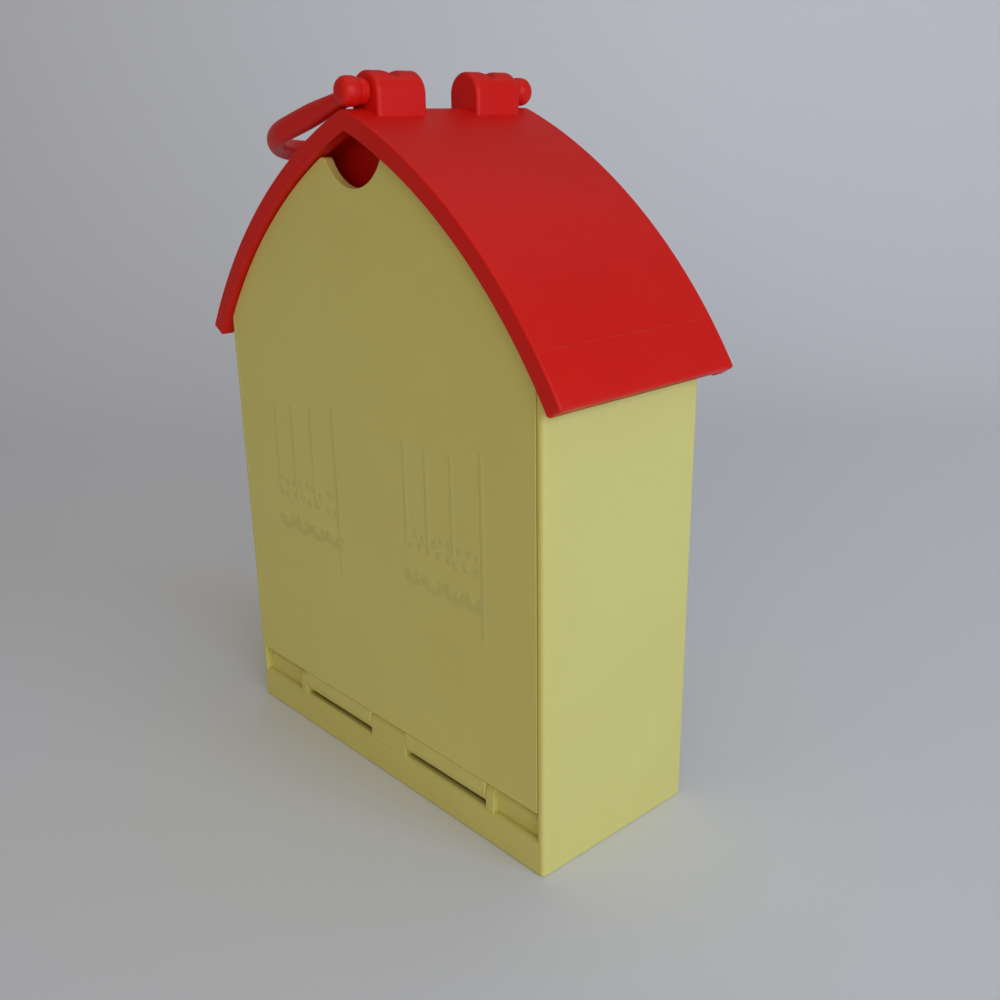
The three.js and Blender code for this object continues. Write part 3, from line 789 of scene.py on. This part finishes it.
# %% A tree that sets a pattern on points
def pattern_tree():
    tree, given, result = tree_with_inputs("set_on_points", {
        "Pattern": "NodeSocketObject", "Length": "NodeSocketFloat", "Width": "NodeSocketFloat",
        "Height": "NodeSocketFloat", "Finish": "NodeSocketMaterial"})
    pattern = add_node(tree, "GeometryNodeObjectInfo", {"Object": given.outputs["Pattern"]})
    turn = add_node(tree, "GeometryNodeInputNamedAttribute", {"Name": "turn"}, data_type="FLOAT_VECTOR")
    size = add_node(tree, "GeometryNodeInputNamedAttribute", {"Name": "size"}, data_type="FLOAT")
    sizes = add_node(tree, "ShaderNodeCombineXYZ", {"X": given.outputs["Length"],
                                                    "Y": given.outputs["Width"],
                                                    "Z": given.outputs["Height"]})
    scaled = add_node(tree, "ShaderNodeVectorMath", {0: sizes.outputs["Vector"],
                                                     "Scale": size.outputs["Attribute"]},
                      operation="SCALE")
    copies = add_node(tree, "GeometryNodeInstanceOnPoints", {
        "Points": given.outputs["Geometry"], "Instance": pattern.outputs["Geometry"],
        "Rotation": turn.outputs["Attribute"], "Scale": scaled.outputs["Vector"]})
    real = add_node(tree, "GeometryNodeRealizeInstances", {"Geometry": copies.outputs["Instances"]})
    painted = add_node(tree, "GeometryNodeSetMaterial", {"Geometry": real.outputs["Geometry"],
                                                         "Material": given.outputs["Finish"]})
    tree.links.new(painted.outputs["Geometry"], result.inputs["Geometry"])
    return tree


def points_object(name, places):
    """Loose points, each place being (point, turn, size)."""
    obj = plain_object(name, [place[0] for place in places])
    turns = obj.data.attributes.new("turn", "FLOAT_VECTOR", "POINT")
    turns.data.foreach_set("vector", [v for place in places for v in place[1]])
    sizes = obj.data.attributes.new("size", "FLOAT", "POINT")
    sizes.data.foreach_set("value", [place[2] for place in places])
    return obj


def set_on_points(name, places, pattern, size, finish):
    """The pattern object set on every place, as one mesh. The pattern object is used up."""
    length, width, height = size
    result = run_tree(points_object(name, places), on_points, {
        "Pattern": pattern, "Length": length, "Width": width, "Height": height, "Finish": finish})
    bpy.data.objects.remove(pattern)
    return result


on_points = pattern_tree()
print("tree", on_points.name, len(on_points.nodes), "nodes")

# %% [markdown]
# A leaf is a small low dome with a pointed outline. Two rows of them stand over each planter and one
# hangs below its edge, turned this way and that by a fixed random seed.

# %% Raised leaves
LEAF_SIDES = 14
LEAF_SIZE = (2.2, 1.9, 0.08)
LEAF_SCALE = (0.75, 1.1)
LEAF_LEAN = 70
LEAF_START = -11.5
LEAF_SPAN = 23.6
# Height, number and spread of each row
LEAF_ROWS = ((60.6, 9, 1.6), (57.6, 8, 1.0), (51.6, 8, 1.2))
DOME_TURN = 80


def dome(outline_at, steps, name):
    """A low dome, one unit high, whose outline is drawn in to a smaller and smaller share."""
    rings = [[(u, v, -0.5) for u, v in outline_at(1.0)]]
    for k in range(steps + 1):
        lift = math.radians(DOME_TURN * k / steps)
        rings.append([(u, v, math.sin(lift)) for u, v in outline_at(math.cos(lift))])
    return loft(rings, name)


def leaf_outline(share):
    """Leaf-shaped ring, narrow at both ends, drawn in towards the middle by share."""
    ring = []
    for k in range(LEAF_SIDES):
        t = 2 * math.pi * k / LEAF_SIDES
        ring.append((share * math.cos(t) / 2, share * math.sin(t) / 2 * (0.75 - 0.25 * math.cos(2 * t))))
    return ring


def leaf_places(middle, seed):
    draw = random.Random(seed)
    places = []
    for row_z, count, spread in LEAF_ROWS:
        for k in range(count):
            x = middle + LEAF_START + LEAF_SPAN * (k + 0.5 * draw.random()) / count
            z = row_z + spread * (draw.random() - 0.5)
            turn = (math.pi / 2, math.radians(draw.uniform(-LEAF_LEAN, LEAF_LEAN)), 0)
            places.append(((x, FRONT_Y, z), turn, draw.uniform(*LEAF_SCALE)))
    return places


places = [place for seed, middle in enumerate(WINDOW_MIDDLES) for place in leaf_places(middle, seed)]
leaf = dome(leaf_outline, 4, "leaf")
raised_piece(set_on_points("leaves", places, leaf, LEAF_SIZE, yellow_polypropylene), "planter_leaves")

# %% [markdown]
# The roof is one red moulding. Its cross-section along the depth is a thin band with a thicker rim at
# the front and the back, and it follows the pointed arch from eave to eave. Sweeping that section along
# the arch, and drawing it in over the last half millimetre, gives rounded eaves.

# %% Roof band
EAVE_ROUND = 0.6
EAVE_SETBACK = 0.16
RIM_EDGE = 0.45
UNDER_EDGE = 0.3


def roof_section():
    """Outline in depth below the outer face and Y, counter-clockwise."""
    y0, y1 = -ROOF_HALF_DEPTH, ROOF_HALF_DEPTH
    step_front, step_back = RIM_BACK_Y, BACK_Y + ROOF_GAP
    outline = arc(RIM_EDGE, y0 + RIM_EDGE, RIM_EDGE, 180, 270, 4)
    outline += arc(RIM_THICKNESS - UNDER_EDGE, y0 + UNDER_EDGE, UNDER_EDGE, 270, 360, 3)
    outline += [(RIM_THICKNESS, step_front), (ROOF_THICKNESS, step_front)]
    outline += [(ROOF_THICKNESS, step_back), (RIM_THICKNESS, step_back)]
    outline += arc(RIM_THICKNESS - UNDER_EDGE, y1 - UNDER_EDGE, UNDER_EDGE, 0, 90, 3)
    outline += arc(RIM_EDGE, y1 - RIM_EDGE, RIM_EDGE, 90, 180, 4)
    return outline


def station(centre_x, centre_z, radius, turn, drawn_in=0.0):
    """A point on the roof's outer line, the outward direction and how far the section is drawn in."""
    out = Vector((math.cos(math.radians(turn)), 0, math.sin(math.radians(turn))))
    return Vector((centre_x, 0, centre_z)) + radius * out, out, drawn_in


def roof_stations():
    """Stations from the right-hand eave over the ridge to the left-hand eave."""
    tip = math.degrees(EAVE_ROUND / ROOF_RADIUS)
    end_turns = [math.radians(90 * k / EASE_STEPS) for k in range(EASE_STEPS, 0, -1)]
    start = EAVE_TURN + math.degrees(EAVE_SETBACK / ROOF_RADIUS)
    right = [(start - tip * math.sin(t), EAVE_ROUND * (1 - math.cos(t))) for t in end_turns]
    right += [(turn, 0.0) for turn in np.linspace(start, CROWN_TURN, 40)]
    stations = [station(-ARCH_X, ARCH_Z, ROOF_RADIUS, turn, drawn_in) for turn, drawn_in in right]
    stations += [station(0, CROWN_Z, RIDGE_ROUND, turn) for turn in np.linspace(CROWN_TURN, 90, 8)[1:]]
    mirrored = [(Vector((-point.x, 0, point.z)), Vector((-out.x, 0, out.z)), drawn_in)
                for point, out, drawn_in in reversed(stations[:-1])]
    return stations + mirrored


def roof_band():
    rings = []
    for point, out, drawn_in in roof_stations():
        section = inset(roof_section(), drawn_in)
        rings.append([tuple(point - depth * out + Vector((0, y, 0))) for depth, y in section])
    return loft(rings, "roof")


roof = roof_band()
print("roof band", len(roof.data.polygons))

# %% [markdown]
# Two lugs stand on the ridge and hold the handle. Each is a round-topped block with soft ends and a
# shallow valley across it. The valley is worked out as a soft upper limit on the height of each ring,
# which rounds its shoulders the way a worn mould does.

# %% Ridge lugs
LUG_HALF = 4.2
LUG_ARC_Z = PIVOT_Z - 0.55
LUG_TOP = LUG_ARC_Z + LUG_HALF
LUG_INNER = 6.2
LUG_OUTER = 17.6
LUG_END_ROUND = 0.8
VALLEY_DEPTH = 1.3
VALLEY_HALF = 2.5
HEADROOM = 0.5
SOFTNESS = 0.15
STUB_RADIUS = 2.0
BORE_RADIUS = 2.1
BORE_DEPTH = 4.3


def soft_lower(a, b):
    """The lower of two heights, with a soft change from one to the other."""
    return -SOFTNESS * math.log(math.exp(-a / SOFTNESS) + math.exp(-b / SOFTNESS))


def lug_ring(y, drawn_in, foot):
    away = abs(y - (LUG_INNER + LUG_OUTER) / 2) / VALLEY_HALF
    dip = 0.5 + 0.5 * math.cos(math.pi * min(away, 1))
    limit = LUG_TOP + HEADROOM - (VALLEY_DEPTH + HEADROOM) * dip
    radius = LUG_HALF - drawn_in
    ring = [(-radius, foot), (radius, foot)] + arc(0, LUG_ARC_Z, radius, 0, 180, 32)
    return [(x, y, foot + soft_lower(z - foot, limit - foot)) for x, z in ring]


def lug(side):
    foot = height_at(MID_ROOF_RADIUS, LUG_HALF)
    stations = eased_stations(LUG_INNER, LUG_OUTER, LUG_END_ROUND, LUG_END_ROUND)
    middle = [(y, 0.0) for y in np.linspace(stations[EASE_STEPS][0], stations[EASE_STEPS + 1][0], 24)]
    stations = stations[:EASE_STEPS] + middle + stations[EASE_STEPS + 2:]
    rings = [[(x, side * y, z) for x, y, z in lug_ring(at, drawn_in, foot)] for at, drawn_in in stations]
    bore = rod(1, 0, PIVOT_Z, BORE_RADIUS, *sided(side, LUG_OUTER - BORE_DEPTH, LUG_OUTER + PAST))
    return cut(loft(rings, "lug"), bore)


lugs = [lug(side) for side in (-1, 1)]
print("lugs up to", round(LUG_TOP, 2))

# %% [markdown]
# Under the roof hang the parts that fasten it: a wall behind the finger notch, a tongue inside each side
# wall, and a boss for each roof screw. They are fused with the band and the lugs to one moulding.

# %% Roof fittings
FINGER_WALL = (-14.25, -12.65)
FINGER_FOOT = RIDGE_Z - 23
TONGUE_HALF = 10.0
TONGUE_THICKNESS = 1.8
TONGUE_DROP = 14.0
TONGUE_GAP = 0.3
TONGUE_EDGE = 0.4
BOSS_RADIUS = 3.2
BOSS_RIB = 2.0
BOSS_END = 1.0
BOSS_EDGE = 0.2
BOSS_Y = (3.65, 13.65)
PILOT_RADIUS = 1.35


def finger_wall():
    half = math.sqrt(MID_ROOF_RADIUS ** 2 - (FINGER_FOOT - ARCH_Z) ** 2) - ARCH_X
    return prism(arch(half, MID_ROOF_RADIUS), 1, *FINGER_WALL)


def tongue(side):
    outer = INSIDE_X - TONGUE_GAP
    top = height_at(MID_ROOF_RADIUS, outer)
    near, far = sided(side, outer, outer - TONGUE_THICKNESS)
    return prism(rectangle(near, far, -TONGUE_HALF, TONGUE_HALF, TONGUE_EDGE), 2,
                 top - TONGUE_DROP, top, TONGUE_EDGE)


def screw_boss(x, z, neck_half, neck_top):
    """A boss for a screw, hung on a neck from what is above it."""
    boss = rod(1, x, z, BOSS_RADIUS, *BOSS_Y, BOSS_EDGE)
    return fuse(boss, prism(rectangle(x - neck_half, x + neck_half, *BOSS_Y), 2, z, neck_top))


def pilots(places):
    """Holes for the screws' threads, which leave a closed end in each boss."""
    return rods(places, PILOT_RADIUS, BOSS_Y[0] + BOSS_END, BOSS_Y[1] + PAST)


def roof_boss(x, z):
    boss = screw_boss(x, z, BOSS_RIB / 2, height_at(MID_ROOF_RADIUS, abs(x) + BOSS_RIB / 2))
    return cut(boss, *pilots([(x, z)]))


roof = fuse(roof, *lugs, finger_wall(), tongue(-1), tongue(1), *[roof_boss(x, z) for x, z in ROOF_SCREWS])
finish_piece(roof, "roof_moulding", "house", red_abs, ["roof_shell"])

# %% [markdown]
# The roof's faces carry a hint of tiles: rows of short dashes that are barely proud of the surface and
# that the eye finds only where the light grazes them. Each dash lies along the depth of the house, on
# the arch at its row's height.

# %% Tile marks
TILE_ROWS = (10.0, 21.3, 31.0)
TILE_LENGTH = 5.4
TILE_SIZE = (0.4, TILE_LENGTH, 0.04)
TILE_PITCH = 6.7
TILE_START = -16.5
TILES_IN_ROW = 6
TILE_MARGIN = 1
TILE_SCALE = (0.8, 1.05)
TILE_SEED = 4
DASH_CORNER = 0.06
DASH_DRAW = 0.04


def dash_outline(share):
    """Rectangle one long and one wide, drawn in by share across and by a little along."""
    half_length = 0.5 - DASH_DRAW * (1 - share)
    return rectangle(-0.5 * share, 0.5 * share, -half_length, half_length, DASH_CORNER * share)


def tile_places():
    draw = random.Random(TILE_SEED)
    places = []
    for row, along in enumerate(TILE_ROWS):
        turn = math.radians(EAVE_TURN) + along / ROOF_RADIUS
        for k in range(TILES_IN_ROW):
            y = TILE_START + TILE_PITCH * k + (row % 2) * TILE_PITCH / 2
            if abs(y) + TILE_LENGTH / 2 > ROOF_HALF_DEPTH - TILE_MARGIN:
                continue
            for side in (-1, 1):
                x = side * (-ARCH_X + ROOF_RADIUS * math.cos(turn))
                z = ARCH_Z + ROOF_RADIUS * math.sin(turn)
                lean = side * (math.pi / 2 - turn)
                places.append(((x, y, z), (0, lean, 0), draw.uniform(*TILE_SCALE)))
    return places


tiles = set_on_points("tiles", tile_places(), dome(dash_outline, 3, "dash"), TILE_SIZE, red_abs)
finish_piece(tiles, "tile_marks", "house", red_abs, crease=SMALL_CREASE)

# %% [markdown]
# The handle is a U-shaped bar with a barrel-like knuckle at each end, a short neck and a stub that turns
# in the lug. The bar is a circle swept along its own centre line: out along one leg, round a corner,
# across and back. The legs leave the knuckles a little low, and there the circle is drawn out in height
# into an oval grip that runs round the whole loop.

# %% Carrying handle
BAIL_RADIUS = 1.65
BAIL_REACH = 41.2
BAIL_CORNER = 19.0
BAIL_HALF = 20.8
BAIL_DROP = 0.8
BAIL_BOW_RADIUS = 1000.0
BAIL_DROOP = 13.6
GRIP_HEIGHT = 4.5
GRIP_START = 2.0
GRIP_END = 15.0
KNUCKLE_RADIUS = 2.7
KNUCKLE_FACES = (18.7, 23.3)
KNUCKLE_ROUND = 1.8
STUB_IN = 4.0
STUB_EDGE = 0.3
NECK_RADIUS = 2.35
NECK_GAP = 0.15
NECK_EDGE = 0.1


def bail_line():
    """Centre line of the bar, from one pivot to the other."""
    leg = BAIL_REACH - BAIL_CORNER
    straight = [(-leg * k / 16, BAIL_HALF) for k in range(16)]
    bend = [(y, x) for x, y in arc(BAIL_HALF - BAIL_CORNER, -leg, BAIL_CORNER, 0, -90, 24)]
    half = straight + bend
    plan = half + [(x, -y) for x, y in reversed(half)]
    return [Vector((x, y, -BAIL_DROP - x ** 2 / (2 * BAIL_BOW_RADIUS))) for x, y in plan]


def grip_stretch(x):
    """How far the bar's section is drawn out in height at this distance from the pivots."""
    share = (-x - GRIP_START) / (GRIP_END - GRIP_START)
    share = min(max(share, 0.0), 1.0)
    return 1 + (GRIP_HEIGHT / (2 * BAIL_RADIUS) - 1) * share * share * (3 - 2 * share)


def bail():
    line = bail_line()
    rings = []
    for i, point in enumerate(line):
        along = (line[min(i + 1, len(line) - 1)] - line[max(i - 1, 0)]).normalized()
        across = along.cross(Vector((0, 0, 1))).normalized()
        over = across.cross(along)
        tall = grip_stretch(point.x)
        ring = circle(0, 0, BAIL_RADIUS, 32)
        rings.append([tuple(point + u * across + v * tall * over) for u, v in ring])
    return loft(rings, "bail")


def knuckle(side):
    inside = KNUCKLE_FACES[0] + KNUCKLE_ROUND
    disc = rod(1, 0, 0, KNUCKLE_RADIUS, *sided(side, *KNUCKLE_FACES), KNUCKLE_ROUND)
    stub = rod(1, 0, 0, STUB_RADIUS, *sided(side, LUG_OUTER - STUB_IN, inside), STUB_EDGE)
    return fuse(disc, stub, rod(1, 0, 0, NECK_RADIUS, *sided(side, LUG_OUTER + NECK_GAP, inside), NECK_EDGE))


handle = fuse(bail(), knuckle(-1), knuckle(1))
handle.data.transform(Matrix.Rotation(math.radians(-BAIL_DROOP), 4, "Y"))
handle.data.transform(Matrix.Translation((0, 0, PIVOT_Z)))
finish_piece(handle, "handle_moulding", "handle", red_abs, ["carry_handle"])

# %% [markdown]
# Inside, the upper floor is a yellow shelf with two bosses under its back edge, and four pan-head screws
# sit in the wells of the back wall. The shelf is seen when the front is down and the screws from behind.

# %% Upper floor
SHELF_CORNER = 0.5
SHELF_EDGE = 0.3

plan = rectangle(shelf_low.x, shelf_high.x, shelf_low.y, INSIDE_BACK_Y - SHELF_GAP, SHELF_CORNER)
shelf = prism(plan, 2, shelf_high.z - SHELF_THICKNESS, shelf_high.z, SHELF_EDGE, SHELF_EDGE)
neck_top = shelf_high.z - SHELF_THICKNESS / 2
shelf = fuse(shelf, *[screw_boss(x, z, BOSS_RADIUS, neck_top) for x, z in SHELF_SCREWS])
well_room = rods(SHELF_SCREWS, WELL_RADIUS + SHELF_GAP, BOSS_Y[1], BACK_Y)
shelf = cut(shelf, *pilots(SHELF_SCREWS), *well_room)
finish_piece(shelf, "shelf_moulding", "house", yellow_polypropylene, ["upper_floor"])

# %% [markdown]
# A self-tapping screw: pan head with a cross recess, and a shank with a thread. The thread is a stack of
# ridges rather than a helix, because only a glint of it can be seen, down the clearance hole.

# %% Screws
SCREW_RADIUS = 1.2
SCREW_LENGTH = 9.0
TIP_RADIUS = 0.7
TIP_LENGTH = 1.2
THREAD_PITCH = 0.9
THREAD_DEPTH = 0.3
RIDGE_HALF = 0.35
UNDERCUT = 0.2
HEAD_RADIUS = 2.8
HEAD_HEIGHT = 1.7
HEAD_EDGE = 0.1
HEAD_ROUND = 1.1
POLE_RADIUS = 0.05
RECESS_DEPTH = 0.9
RECESS_LONG = 1.6
RECESS_WIDE = 0.35
RECESS_CORNER = 0.15
SCREW_SEED = 7
SEAT_Y = WELL_SEAT_Y + 0.1
HEAD_TOP_Y = SEAT_Y + HEAD_HEIGHT


def screw_profile():
    """Radius and Y from the tip to the top of the head."""
    tip = SEAT_Y - SCREW_LENGTH
    root = SCREW_RADIUS - THREAD_DEPTH
    profile = [(POLE_RADIUS, tip), (TIP_RADIUS, tip + TIP_LENGTH)]
    y = tip + TIP_LENGTH + UNDERCUT
    while y < SEAT_Y - TIP_LENGTH:
        profile += [(root, y), (SCREW_RADIUS, y + RIDGE_HALF), (root, y + 2 * RIDGE_HALF)]
        y += THREAD_PITCH
    profile += [(SCREW_RADIUS - UNDERCUT, SEAT_Y - UNDERCUT), (SCREW_RADIUS, SEAT_Y)]
    profile += [(HEAD_RADIUS - HEAD_EDGE, SEAT_Y), (HEAD_RADIUS, SEAT_Y + HEAD_EDGE)]
    profile += arc(HEAD_RADIUS - HEAD_ROUND, HEAD_TOP_Y - HEAD_ROUND, HEAD_ROUND, 0, 90)
    return profile + [(POLE_RADIUS, HEAD_TOP_Y)]


def screw_pattern():
    rings = [[(x, y, z) for x, z in circle(0, 0, radius, 32)] for radius, y in screw_profile()]
    blades = [prism(rectangle(-u, u, -v, v, RECESS_CORNER), 1, HEAD_TOP_Y - RECESS_DEPTH, HEAD_TOP_Y + SUNK)
              for u, v in ((RECESS_LONG, RECESS_WIDE), (RECESS_WIDE, RECESS_LONG))]
    return cut(loft(rings, "screw"), *blades)


draw = random.Random(SCREW_SEED)
places = [((x, 0, z), (0, math.radians(draw.uniform(0, 90)), 0), 1.0) for x, z in SCREW_PLACES]
screws = set_on_points("screws", places, screw_pattern(), (1.0, 1.0, 1.0), screw_steel)
finish_piece(screws, "back_screws", "house", screw_steel,
             ["roof_screw_left", "roof_screw_right", "floor_screw_left", "floor_screw_right"])

# %% [markdown]
# The set is a pale matt table that curves up into a backdrop, so that no horizon shows. It is turned to face
# the camera. Its paint is painted paler away from the camera and towards the right: painted light, standing
# in for the window light from the right falling off across the table.

# %% Table and backdrop
CAMERA_TURN = math.radians(47.8)
TABLE_Z = -0.05
TABLE_HALF = 1500
TABLE_NEAR = -900
BEND_START = 260
BEND_RADIUS = 400
BACKDROP_TOP = 450
TABLE_CLOUD_MM = 60
# Direction in which the table's paint is painted paler: painted light from the window on the right
PAINTED_LIGHT_WAY = (0.375, 1.01, 0.0)


def backdrop():
    profile = [(TABLE_NEAR, TABLE_Z), (BEND_START, TABLE_Z)]
    profile += arc(BEND_START, TABLE_Z + BEND_RADIUS, BEND_RADIUS, -90, 0, 24)[1:]
    profile += [(BEND_START + BEND_RADIUS, BACKDROP_TOP)]
    right = Vector((math.cos(CAMERA_TURN), math.sin(CAMERA_TURN), 0))
    back = Vector((-right.y, right.x, 0))
    points = [tuple((side * TABLE_HALF * right + along * back + Vector((0, 0, z))) / METRE)
              for along, z in profile for side in (-1, 1)]
    faces = [(2 * i, 2 * i + 1, 2 * i + 3, 2 * i + 2) for i in range(len(profile) - 1)]
    curved = plain_object("backdrop", points, faces=faces)
    curved.data.polygons.foreach_set("use_smooth", [True] * len(faces))
    return curved


# Table paint with painted light: a slow paler ramp towards the right and back, plus a faint random cloud
def table_paint():
    material = new_material("matt_table_paint_and_painted_light")
    tree = material.node_tree
    place = add_node(tree, "ShaderNodeTexCoord").outputs["Object"]
    # Painted light: the paint grows paler towards the right and away from the camera, with a little random
    # cloud on top
    across = add_node(tree, "ShaderNodeVectorMath", {0: place, 1: PAINTED_LIGHT_WAY},
                      operation="DOT_PRODUCT")
    cloud = add_node(tree, "ShaderNodeTexNoise",
                     {"Vector": place, "Scale": per_metre(TABLE_CLOUD_MM), "Detail": 3.0})
    spread = add_node(tree, "ShaderNodeMath", {0: cloud.outputs["Fac"], 1: 0.04, 2: across.outputs["Value"]},
                      operation="MULTIPLY_ADD")
    paler_by_cloud_and_painted_light = add_node(tree, "ShaderNodeMapRange", {"Value": spread.outputs["Value"], "From Min": -0.15,
                                                  "From Max": 0.40, "To Min": 0.0, "To Max": 1.0})
    tone = add_node(tree, "ShaderNodeMix", {"Factor": paler_by_cloud_and_painted_light.outputs["Result"], "A": linear("E1E1E2"),
                                            "B": linear("F1F1F2")}, data_type="RGBA")
    shader = add_node(tree, "ShaderNodeBsdfPrincipled", {"Base Color": tone.outputs["Result"],
                                                         "Roughness": 0.7, "IOR": 1.45})
    add_node(tree, "ShaderNodeOutputMaterial", {"Surface": shader.outputs["BSDF"]})
    return material


stand = backdrop()
stand.data.materials.append(table_paint())
print("backdrop", len(stand.data.polygons), "faces")

# %% [markdown]
# Three soft lights. A cool window to the right lights the side wall and one half of the roof. A warm lamp
# in front and to the right lights the gable. A ceiling light from above gives the pale edge shadows. The
# gamma stands for a phone's picture, which has more contrast in its middle tones.

# %% Lights
ROOM_LIGHT = 0.22
PHONE_GAMMA = 0.88
TARGET = (0, 0, 0.06)


def area_light(name, place, size, watts, colour):
    data = bpy.data.lights.new(name, "AREA")
    data.shape = "RECTANGLE"
    data.size, data.size_y = size
    data.energy = watts
    data.color = linear(colour)[:3]
    lamp = new_object(name, data)
    lamp.location = place
    lamp.rotation_euler = (Vector(TARGET) - Vector(place)).to_track_quat("-Z", "Y").to_euler()
    print("light", name, watts, "watts")


area_light("window", (0.9, -0.05, 0.35), size=(0.8, 0.6), watts=5.6, colour="BCD2FF")
area_light("lamp", (0.75, -0.75, 0.35), size=(0.9, 0.6), watts=3.0, colour="FFE492")
area_light("ceiling", (0.1, 0.1, 1.1), size=(1.2, 1.2), watts=2.1, colour="FFFFFF")
world = bpy.data.worlds.new("soft_room")
world.use_nodes = True
world.node_tree.nodes["Background"].inputs["Color"].default_value = linear("FFFFFF")
world.node_tree.nodes["Background"].inputs["Strength"].default_value = ROOM_LIGHT
bpy.context.scene.world = world
view = bpy.context.scene.view_settings
view.view_transform = "Standard"
view.gamma = PHONE_GAMMA

# %% [markdown]
# The camera stands where the photographer's phone was: to the right of the front corner, as high as the
# ridge, about 23 cm from the middle of the house, with a trace of roll.

# %% Camera
CAMERA_PLACE = Vector((173.7, -143.15, 136.8)) / METRE
CAMERA_TILT = math.radians(19.2)
CAMERA_ROLL = math.radians(-0.85)
LENS_MM = 39.52
SENSOR_MM = 36


def photo_camera():
    data = bpy.data.cameras.new("photo_camera")
    data.lens = LENS_MM
    data.sensor_width = SENSOR_MM
    data.clip_start = 0.01
    camera = new_object("photo_camera", data)
    level = math.cos(CAMERA_TILT)
    forward = Vector((-math.sin(CAMERA_TURN) * level, math.cos(CAMERA_TURN) * level, -math.sin(CAMERA_TILT)))
    right = forward.cross(Vector((0, 0, 1))).normalized()
    up = right.cross(forward)
    rolled_right = right * math.cos(CAMERA_ROLL) + up * math.sin(CAMERA_ROLL)
    rolled_up = up * math.cos(CAMERA_ROLL) - right * math.sin(CAMERA_ROLL)
    pose = Matrix((rolled_right, rolled_up, -forward)).transposed().to_4x4()
    camera.matrix_world = Matrix.Translation(CAMERA_PLACE) @ pose
    return camera


bpy.context.scene.camera = photo_camera()
middle = Vector((0, 0, RIDGE_Z / 2)) / METRE
print("camera", round(METRE * (CAMERA_PLACE - middle).length), "mm from the middle of the house")

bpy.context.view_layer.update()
